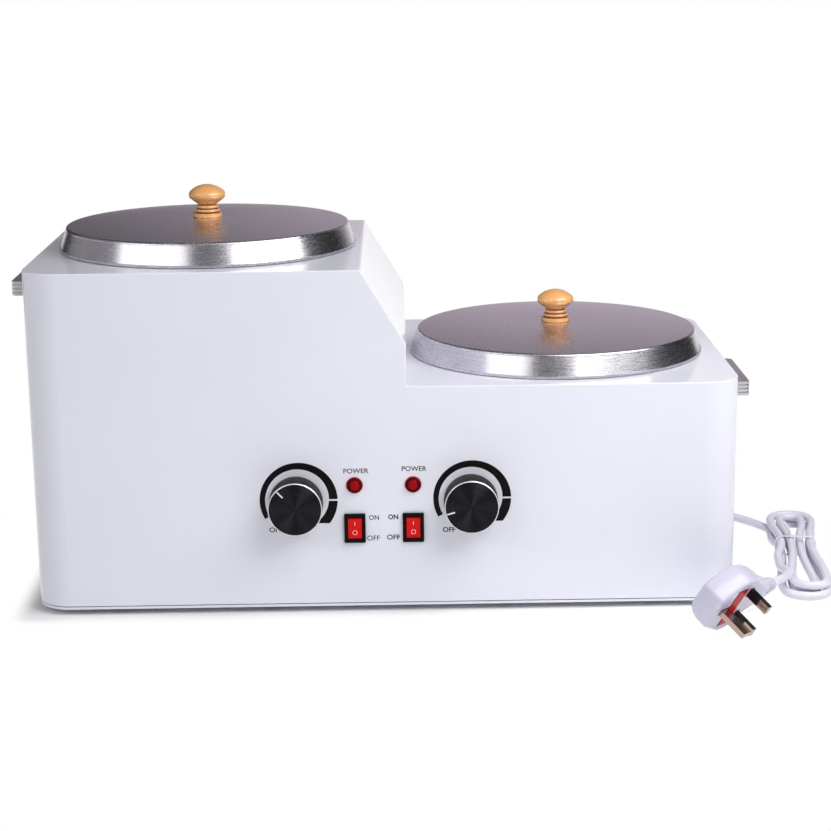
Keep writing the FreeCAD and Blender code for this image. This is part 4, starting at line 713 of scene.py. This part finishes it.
def make_plug():
    """Moulded plug, its soft back drawn in to a ribbed boot; black sheets on the face are painted shade where
    pins go in.
    """
    earth_end, earth_half, shoulder_x, shoulder_half = -33.0, 12.8, -9.0, 25.2
    cord_end, cord_half = 7.0, 22.0
    earth_corner, shoulder_corner, cord_corner, nose_corner = 3.0, 16.0, 6.0, 4.4
    # depth behind the face, and how far the outline is drawn in there
    sections = [(0.0, 1.7), (-0.5, 0.6), (-1.6, 0.0), (-9.0, 0.0), (-14.0, 0.8), (-17.6, 2.4), (-20.0, 5.0),
                (-21.0, 9.0)]
    # distance along the lead, half width, front and back
    nose_profile = [(1.0, 22.0, -1.4, -16.4), (7.0, 19.8, -1.1, -16.0), (13.0, 15.8, -0.7, -14.8),
                    (19.0, 12.2, -0.3, -13.4), (24.0, 9.8, 0.0, -12.2), (27.6, 8.4, 0.1, -11.5),
                    (29.2, 7.4, -0.2, -10.9)]
    # distance along the lead, half width, half depth
    boot_profile = [(26.0, 6.8, 5.2)]
    for k in range(3):
        x = 29.4 + 3.0 * k
        wide, deep = 7.7 - 0.75 * k, 5.7 - 0.3 * k
        boot_profile += [(x, wide - 1.5, deep - 1.3), (x + 0.3, wide, deep),
                         (x + 1.7, wide - 0.1, deep - 0.1), (x + 2.0, wide - 1.6, deep - 1.3)]
    boot_profile += [(38.6, 4.9, 4.6), (40.5, 4.5, 4.5), (PLUG_BOOT_END, 4.0, 4.0)]

    def build(grid):
        rings = []
        for depth, inset in sections:
            half_side = [(earth_end + inset, earth_half - 0.7 * inset, earth_corner),
                         (shoulder_x, shoulder_half - inset, shoulder_corner),
                         (cord_end - 0.6 * inset, cord_half - inset, cord_corner)]
            outline = [(x, -y, radius) for x, y, radius in half_side] + half_side[::-1]
            rings.append(ring_of(grid, [Vector((x, y, depth)) * MM for x, y in rounded(outline, 7)]))
        skin(grid, rings, smooth=True)
        cap(grid, rings[0])
        cap(grid, rings[-1], smooth=True)
        nose = []
        for x, half, front, rear in nose_profile:
            edge = [(-half, rear, nose_corner), (half, rear, nose_corner),
                    (half, front, nose_corner), (-half, front, nose_corner)]
            nose.append(ring_of(grid, [Vector((x, y, z)) * MM for y, z in rounded(edge, 6)]))
        boot = []
        for x, wide, deep in boot_profile:
            boot.append(ring_of(grid, [Vector((x, wide * p.x, deep * p.y + PLUG_BOOT_AXIS)) * MM
                                       for p in circle(1.0, 32)]))
        for tube in (nose, boot):
            skin(grid, tube, smooth=True)
            cap(grid, tube[0])
            cap(grid, tube[-1])

    place = PLUG_PLACE.copy()
    place.translation *= MM
    plug = mesh_piece("plug_moulding", build, plug_vinyl, "case", place)
    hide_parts("plug_body")

    # Painted shade: thin black sheets on the face, over the gap round the fuse carrier and round each pin.
    def build_gap_shades(grid):
        for x, y, wide, long in PLUG_GAP_SHADES:
            rows = [[(px * MM, (y - long / 2) * MM) for px in (x - wide / 2, x + wide / 2)],
                    [(px * MM, (y + long / 2) * MM) for px in (x - wide / 2, x + wide / 2)]]
            flat_solid(grid, rows, GAP_SHADE_THICK * MM)

    gap_shades = mesh_piece("plug_face_gap_shades", build_gap_shades, sleeve_and_gap_shade_black, "case", place)
    return [plug, gap_shades]


def make_gland_boot():
    """Flanged gland with a ribbed boot that the lead leaves by."""
    # reach behind the case, radius
    profile = [(-9.0, 5.8), (-0.2, 5.8), (0.0, 8.0), (2.0, 8.0), (2.6, 7.4), (3.2, 6.6)]
    for k in range(5):
        start, full = 4.4 + 4.2 * k, 6.5 - 0.36 * k
        profile += [(start, full - 0.9), (start + 0.5, full),
                    (start + 2.9, full - 0.15), (start + 3.4, full - 1.0)]
    profile += [(26.4, 4.6), (28.0, 4.2)]

    def build(grid):
        rings = [ring_of(grid, [v * MM for v in circle(radius, 40, reach)]) for reach, radius in profile]
        skin(grid, rings, smooth=True)
        cap(grid, rings[0])
        cap(grid, rings[-1])

    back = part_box("case_wrap")[1].y
    place = Matrix.Translation((CORD_EXIT[0] * MM, back, CORD_EXIT[2] * MM)) @ Matrix.Rotation(
        math.radians(-90), 4, "X")
    boot = mesh_piece("cord_boot", build, vinyl, "case", place)
    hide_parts("cord_gland")
    return boot


# dials: bearings run clockwise in degrees from the top

DIAL_BEARINGS = {"left": 317, "right": 254}
POINTER_THICK = 0.06
PRINT_THICK = 0.05
ARC_X = 61.0
ARC_Z = 83.0
ARC_OUTER = 27.4
ARC_START = -119
ARC_GAP = 1.3
ARC_FOOT = -17.0
ARC_INNER_END = 140.0
ARC_WIDTH = (4.75, 0.0128, 0.00003)


def make_dial_knob(name):
    """Knurled sides, a bright cut edge and a turned face with a painted pointer."""
    teeth, radius, groove = 110, DIAL_ACROSS / 2, 0.28
    back, reach, edge = 1.5, 22.0, 0.75
    collar_in, collar_tall, run_out, land = 0.5, 1.2, 0.4, 0.3

    def build(grid):
        count = 2 * teeth

        def knurl(height):
            points = []
            for i, p in enumerate(circle(1.0, count)):
                reach_out = radius - groove * (i % 2)
                points.append(Vector((reach_out * p.x, reach_out * p.y, height)) * MM)
            return points

        rings = [ring_of(grid, [v * MM for v in circle(radius - collar_in, count, back + height)])
                 for height in (0.0, collar_tall)]
        rings += [ring_of(grid, knurl(height))
                  for height in (back + collar_tall + run_out, reach - edge - 2 * land)]
        rings += [ring_of(grid, [v * MM for v in circle(radius, count, height)])
                  for height in (reach - edge - land, reach - edge)]
        skin(grid, rings, smooth=False)
        lip = [rings[-1], ring_of(grid, [v * MM for v in circle(radius - edge, count, reach)])]
        skin(grid, lip, smooth=True, paint=1)
        face_rings = [lip[-1]]
        for part in (0.75, 0.5, 0.25, 0.06):
            face_rings.append(ring_of(grid, [v * MM for v in circle(part * (radius - edge), count, reach)]))
        skin(grid, face_rings, smooth=True, paint=2)
        cap(grid, face_rings[-1], paint=2, smooth=True)
        cap(grid, list(reversed(rings[0])))

    axis = pivots[f"{name}_dial_turn"]
    place = Matrix.Translation(axis) @ ON_PANEL
    knob = mesh_piece(f"{name}_dial_knob", build, [dial_side, dial_edge, dial_face], f"{name}_dial", place)
    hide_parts(f"{name}_temperature_knob")

    bearing = math.radians(DIAL_BEARINGS[name])
    inner, outer, wide = 12.2, 17.9, 1.0
    rows = [[(-wide / 2 * MM, y * MM) for y in (inner, outer)],
            [(wide / 2 * MM, y * MM) for y in (inner, outer)]]
    turned = place @ Matrix.Translation((0, 0, reach * MM)) @ Matrix.Rotation(-bearing, 4, "Z")
    pointer = mesh_piece(f"{name}_dial_pointer", lambda grid: flat_solid(grid, rows, POINTER_THICK * MM),
                         pale_ink, f"{name}_dial", turned)


def arc_width(bearing):
    """Printed band: it widens as it goes round clockwise."""
    at_top, per_degree, per_degree_squared = ARC_WIDTH
    return at_top + per_degree * bearing + per_degree_squared * bearing ** 2


def make_dial_print(name):
    """Two stretches of a widening band round the dial, parted at three o'clock and cut level at the end."""
    steps = 90
    half_gap = math.degrees(ARC_GAP / 2 / ARC_OUTER)

    def polar(radius, bearing):
        return (radius * math.sin(math.radians(bearing)) * MM, radius * math.cos(math.radians(bearing)) * MM)

    def stretch(outer_start, outer_stop, inner_start, inner_stop):
        outer_row, inner_row = [], []
        for k in range(steps + 1):
            part = k / steps
            outside = outer_start + (outer_stop - outer_start) * part
            inside = inner_start + (inner_stop - inner_start) * part
            outer_row.append(polar(ARC_OUTER, outside))
            inner_row.append(polar(ARC_OUTER - arc_width(inside), inside))
        return [outer_row, inner_row]

    foot_outer = math.degrees(math.acos(ARC_FOOT / ARC_OUTER))
    foot_inner = math.degrees(math.acos(ARC_FOOT / (ARC_OUTER - arc_width(ARC_INNER_END))))
    inner_half_gap = math.degrees(ARC_GAP / 2 / (ARC_OUTER - arc_width(90)))
    place = Matrix.Translation((SIDES[name] * ARC_X * MM, PANEL_Y, ARC_Z * MM)) @ ON_PANEL
    bands = {"band": stretch(ARC_START, 90 - half_gap, ARC_START, 90 - inner_half_gap),
             "end": stretch(90 + half_gap, foot_outer, 90 + inner_half_gap, foot_inner)}
    for label, rows in bands.items():
        piece = mesh_piece(f"{name}_dial_print_{label}",
                           lambda grid: flat_solid(grid, rows, PRINT_THICK * MM), ink, "case", place)


# printed words: plain labels for the lamps, switches and dials

# name, text, x, z, width, height and boldness
WORDS = [
    ("lamp_word_left", "POWER", -20.4, 103.9, 17.6, 3.5, 0.01),
    ("lamp_word_right", "POWER", 20.4, 105.0, 17.3, 3.5, 0.01),
    ("switch_on_left", "ON", -8.3, 69.7, 6.9, 3.5, 0.008),
    ("switch_off_left", "OFF", -8.8, 54.6, 8.9, 3.7, 0.004),
    ("switch_on_right", "ON", 5.2, 70.0, 7.1, 3.7, 0.03),
    ("switch_off_right", "OFF", 5.3, 55.1, 9.2, 3.7, 0.016),
    ("dial_off_left", "OFF", -77.7, 61.7, 9.0, 3.6, 0.018),
    ("dial_off_right", "OFF", 44.6, 60.1, 9.0, 3.6, 0.018),
]


def make_word(name, text, x, z, width, height, bold):
    """Flat letters of that width and height, centred on a spot of the front panel."""
    letters = bpy.data.curves.new(name, "FONT")
    letters.body = text
    letters.extrude = 0.02
    letters.offset = bold
    letters.resolution_u = 4
    source = bpy.data.objects.new(f"{name}_source", letters)
    scene.collection.objects.link(source)
    bpy.context.view_layer.update()
    mesh = bpy.data.meshes.new_from_object(source.evaluated_get(bpy.context.evaluated_depsgraph_get()))
    bpy.data.objects.remove(source)
    lows = Vector([min(v.co[i] for v in mesh.vertices) for i in range(3)])
    highs = Vector([max(v.co[i] for v in mesh.vertices) for i in range(3)])
    size = highs - lows
    scale = Vector((width / size.x, height / size.y, PRINT_THICK / size.z)) * MM
    middle = (lows + highs) / 2
    middle.z = lows.z
    for vertex in mesh.vertices:
        vertex.co = Vector([(vertex.co[i] - middle[i]) * scale[i] for i in range(3)])
    mesh.name = name
    mesh.materials.clear()
    mesh.materials.append(ink)
    piece = bpy.data.objects.new(name, mesh)
    scene.collection.objects.link(piece)
    piece.matrix_world = Matrix.Translation((x * MM, PANEL_Y, z * MM)) @ ON_PANEL
    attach(piece, "case")


# rocker marks

ROCKER_REST = 9.0
ROCKER_RISE = 0.9
ROCKER_RUN = 6.6
ROCKER_SLOPE = math.degrees(math.atan2(ROCKER_RISE, ROCKER_RUN))
ROCKER_VALLEY = 4.3
BAR_UP = 4.7
BAR_HALF_WIDE = 0.2
BAR_HALF_TALL = 1.4
RING_DOWN = -2.3
RING_OUTER = 1.7
RING_INNER = 1.38
MARK_THICK = 0.04


def make_rocker_marks(name):
    """A bar on the upper half and a ring on the lower half, printed on the sloping faces."""
    rest = Matrix.Translation(pivots[f"{name}_rocker_tip"]) @ ON_PANEL @ Matrix.Rotation(
        math.radians(ROCKER_REST), 4, "X")
    bar = [[(x * MM, y * MM) for y in (-BAR_HALF_TALL, BAR_HALF_TALL)]
           for x in (-BAR_HALF_WIDE, BAR_HALF_WIDE)]
    around = [p.to_2d() for p in circle(1.0, 48)] + [Vector((1.0, 0.0))]
    ring = [[tuple(p * radius * MM) for p in around] for radius in (RING_OUTER, RING_INNER)]
    for label, rows, offset in (("bar", bar, BAR_UP), ("ring", ring, RING_DOWN)):
        height = ROCKER_VALLEY + abs(offset) * math.tan(math.radians(ROCKER_SLOPE))
        place = rest @ Matrix.Translation((0, offset * MM, height * MM)) @ Matrix.Rotation(
            math.copysign(math.radians(ROCKER_SLOPE), offset), 4, "X")
        mark = mesh_piece(f"{name}_rocker_{label}", lambda grid: flat_solid(grid, rows, MARK_THICK * MM),
                          pale_ink, f"{name}_switch", place)


# stage and lights

TARGET = Vector((0, 0, 120)) * MM
FLOOR_RADIUS = 20.0
FLAG_TALL = 1.1
# name, azimuth, elevation, distance, width, height and power
LAMPS = [
    ("soft_box_left", -45, 28, 1.16, 1.0, 0.4, 3.0),
    ("soft_box_right", 49, 43, 0.85, 0.84, 0.56, 7.05),
    ("soft_strip_above", 0, 72, 1.0, 1.4, 0.05, 1.0),
    ("soft_box_above", 90, 63, 1.1, 0.8, 0.8, 0.9),
]
# name, x, front and back
FLAGS = [("flag_right", 0.95, -0.12, 0.95), ("flag_left", -1.0, 0.7, 1.5)]


def soft_box(name, azimuth, elevation, distance, width, height, power):
    """Square-on area lamp; azimuth 0 is in front and positive to the right."""
    lamp = bpy.data.lights.new(name, "AREA")
    lamp.shape = "RECTANGLE"
    lamp.size = width
    lamp.size_y = height
    lamp.energy = power
    a, e = math.radians(azimuth), math.radians(elevation)
    outward = Vector((math.sin(a) * math.cos(e), -math.cos(a) * math.cos(e), math.sin(e)))
    box = bpy.data.objects.new(name, lamp)
    scene.collection.objects.link(box)
    box.location = TARGET + distance * outward
    box.rotation_euler = (-outward).to_track_quat("-Z", "Y").to_euler()
    box.visible_camera = False


def dark_flag(name, x, front, back):
    """Black cloth flag beside the set, unseen by the camera, for the lids to mirror."""
    grid = bmesh.new()
    ring = ring_of(grid, [(x, front, 0), (x, back, 0), (x, back, FLAG_TALL), (x, front, FLAG_TALL)])
    cap(grid, ring)
    mesh = bpy.data.meshes.new(name)
    grid.to_mesh(mesh)
    grid.free()
    mesh.materials.append(flag_cloth)
    flag = bpy.data.objects.new(name, mesh)
    scene.collection.objects.link(flag)
    flag.visible_camera = False


def make_stage():
    grid = bmesh.new()
    bmesh.ops.create_circle(grid, cap_ends=True, radius=FLOOR_RADIUS, segments=64)
    mesh = bpy.data.meshes.new("studio_floor")
    grid.to_mesh(mesh)
    grid.free()
    floor = bpy.data.objects.new("studio_floor", mesh)
    mesh.materials.append(stage_floor_paint())
    scene.collection.objects.link(floor)
    # Room: seen, it is plain white; mirrored, it is pale behind and far left, and dim in front and between.
    world = bpy.data.worlds.new("studio")
    world.use_nodes = True
    tree = world.node_tree
    sky = tree.nodes["Background"]
    ways = add_node(tree, "ShaderNodeTexCoord")
    apart = add_node(tree, "ShaderNodeSeparateXYZ", {0: ways.outputs["Generated"]})
    left = add_node(tree, "ShaderNodeMapRange", {
        "Value": apart.outputs[0], "From Min": -0.95, "From Max": -0.5, "To Min": 0.3, "To Max": 0.08})
    ahead = add_node(tree, "ShaderNodeMapRange", {
        "Value": apart.outputs[1], "From Min": -0.6, "From Max": -0.1, "To Min": 0.1, "To Max": 0.0})
    behind = add_node(tree, "ShaderNodeMapRange", {
        "Value": apart.outputs[1], "From Min": 0.75, "From Max": 0.98, "To Min": 0.0, "To Max": 0.62})
    right = add_node(tree, "ShaderNodeMapRange", {
        "Value": apart.outputs[0], "From Min": -0.2, "From Max": 0.06, "To Min": 0.15, "To Max": 1.0})
    low = add_node(tree, "ShaderNodeMapRange", {
        "Value": apart.outputs[2], "From Min": 0.05, "From Max": 0.5, "To Min": 1.0, "To Max": 0.65})
    side = add_node(tree, "ShaderNodeMath", {0: right.outputs[0], 1: low.outputs[0]}, operation="MULTIPLY")
    wall = add_node(tree, "ShaderNodeMath", {0: behind.outputs[0], 1: side.outputs[0]}, operation="MULTIPLY")
    open_side = add_node(tree, "ShaderNodeMath", {0: left.outputs[0], 1: ahead.outputs[0]}, operation="ADD")
    room = add_node(tree, "ShaderNodeMath", {0: open_side.outputs[0], 1: wall.outputs[0]}, operation="ADD")
    path = add_node(tree, "ShaderNodeLightPath")
    lit = add_node(tree, "ShaderNodeMath", {
        0: room.outputs[0], 1: path.outputs["Is Camera Ray"]}, operation="MAXIMUM")
    tree.links.new(lit.outputs[0], sky.inputs["Strength"])
    hue = add_node(tree, "ShaderNodeMix", {
        0: behind.outputs[0], 6: linear("#F4F3F7"), 7: linear("#F0D6EC")}, data_type="RGBA")
    backdrop = add_node(tree, "ShaderNodeMix", {
        0: path.outputs["Is Camera Ray"], 6: hue.outputs[2], 7: (1, 1, 1, 1)}, data_type="RGBA")
    tree.links.new(backdrop.outputs[2], sky.inputs["Color"])
    scene.world = world
    for lamp in LAMPS:
        soft_box(*lamp)
    for flag in FLAGS:
        dark_flag(*flag)


make_camera()
paint_frame()
lead = make_cord()
lead_fittings = make_plug() + [make_tie(), make_gland_boot()]
for side in SIDES:
    make_dial_knob(side)
    make_dial_print(side)
    make_rocker_marks(side)
for word in WORDS:
    make_word(*word)
make_stage()
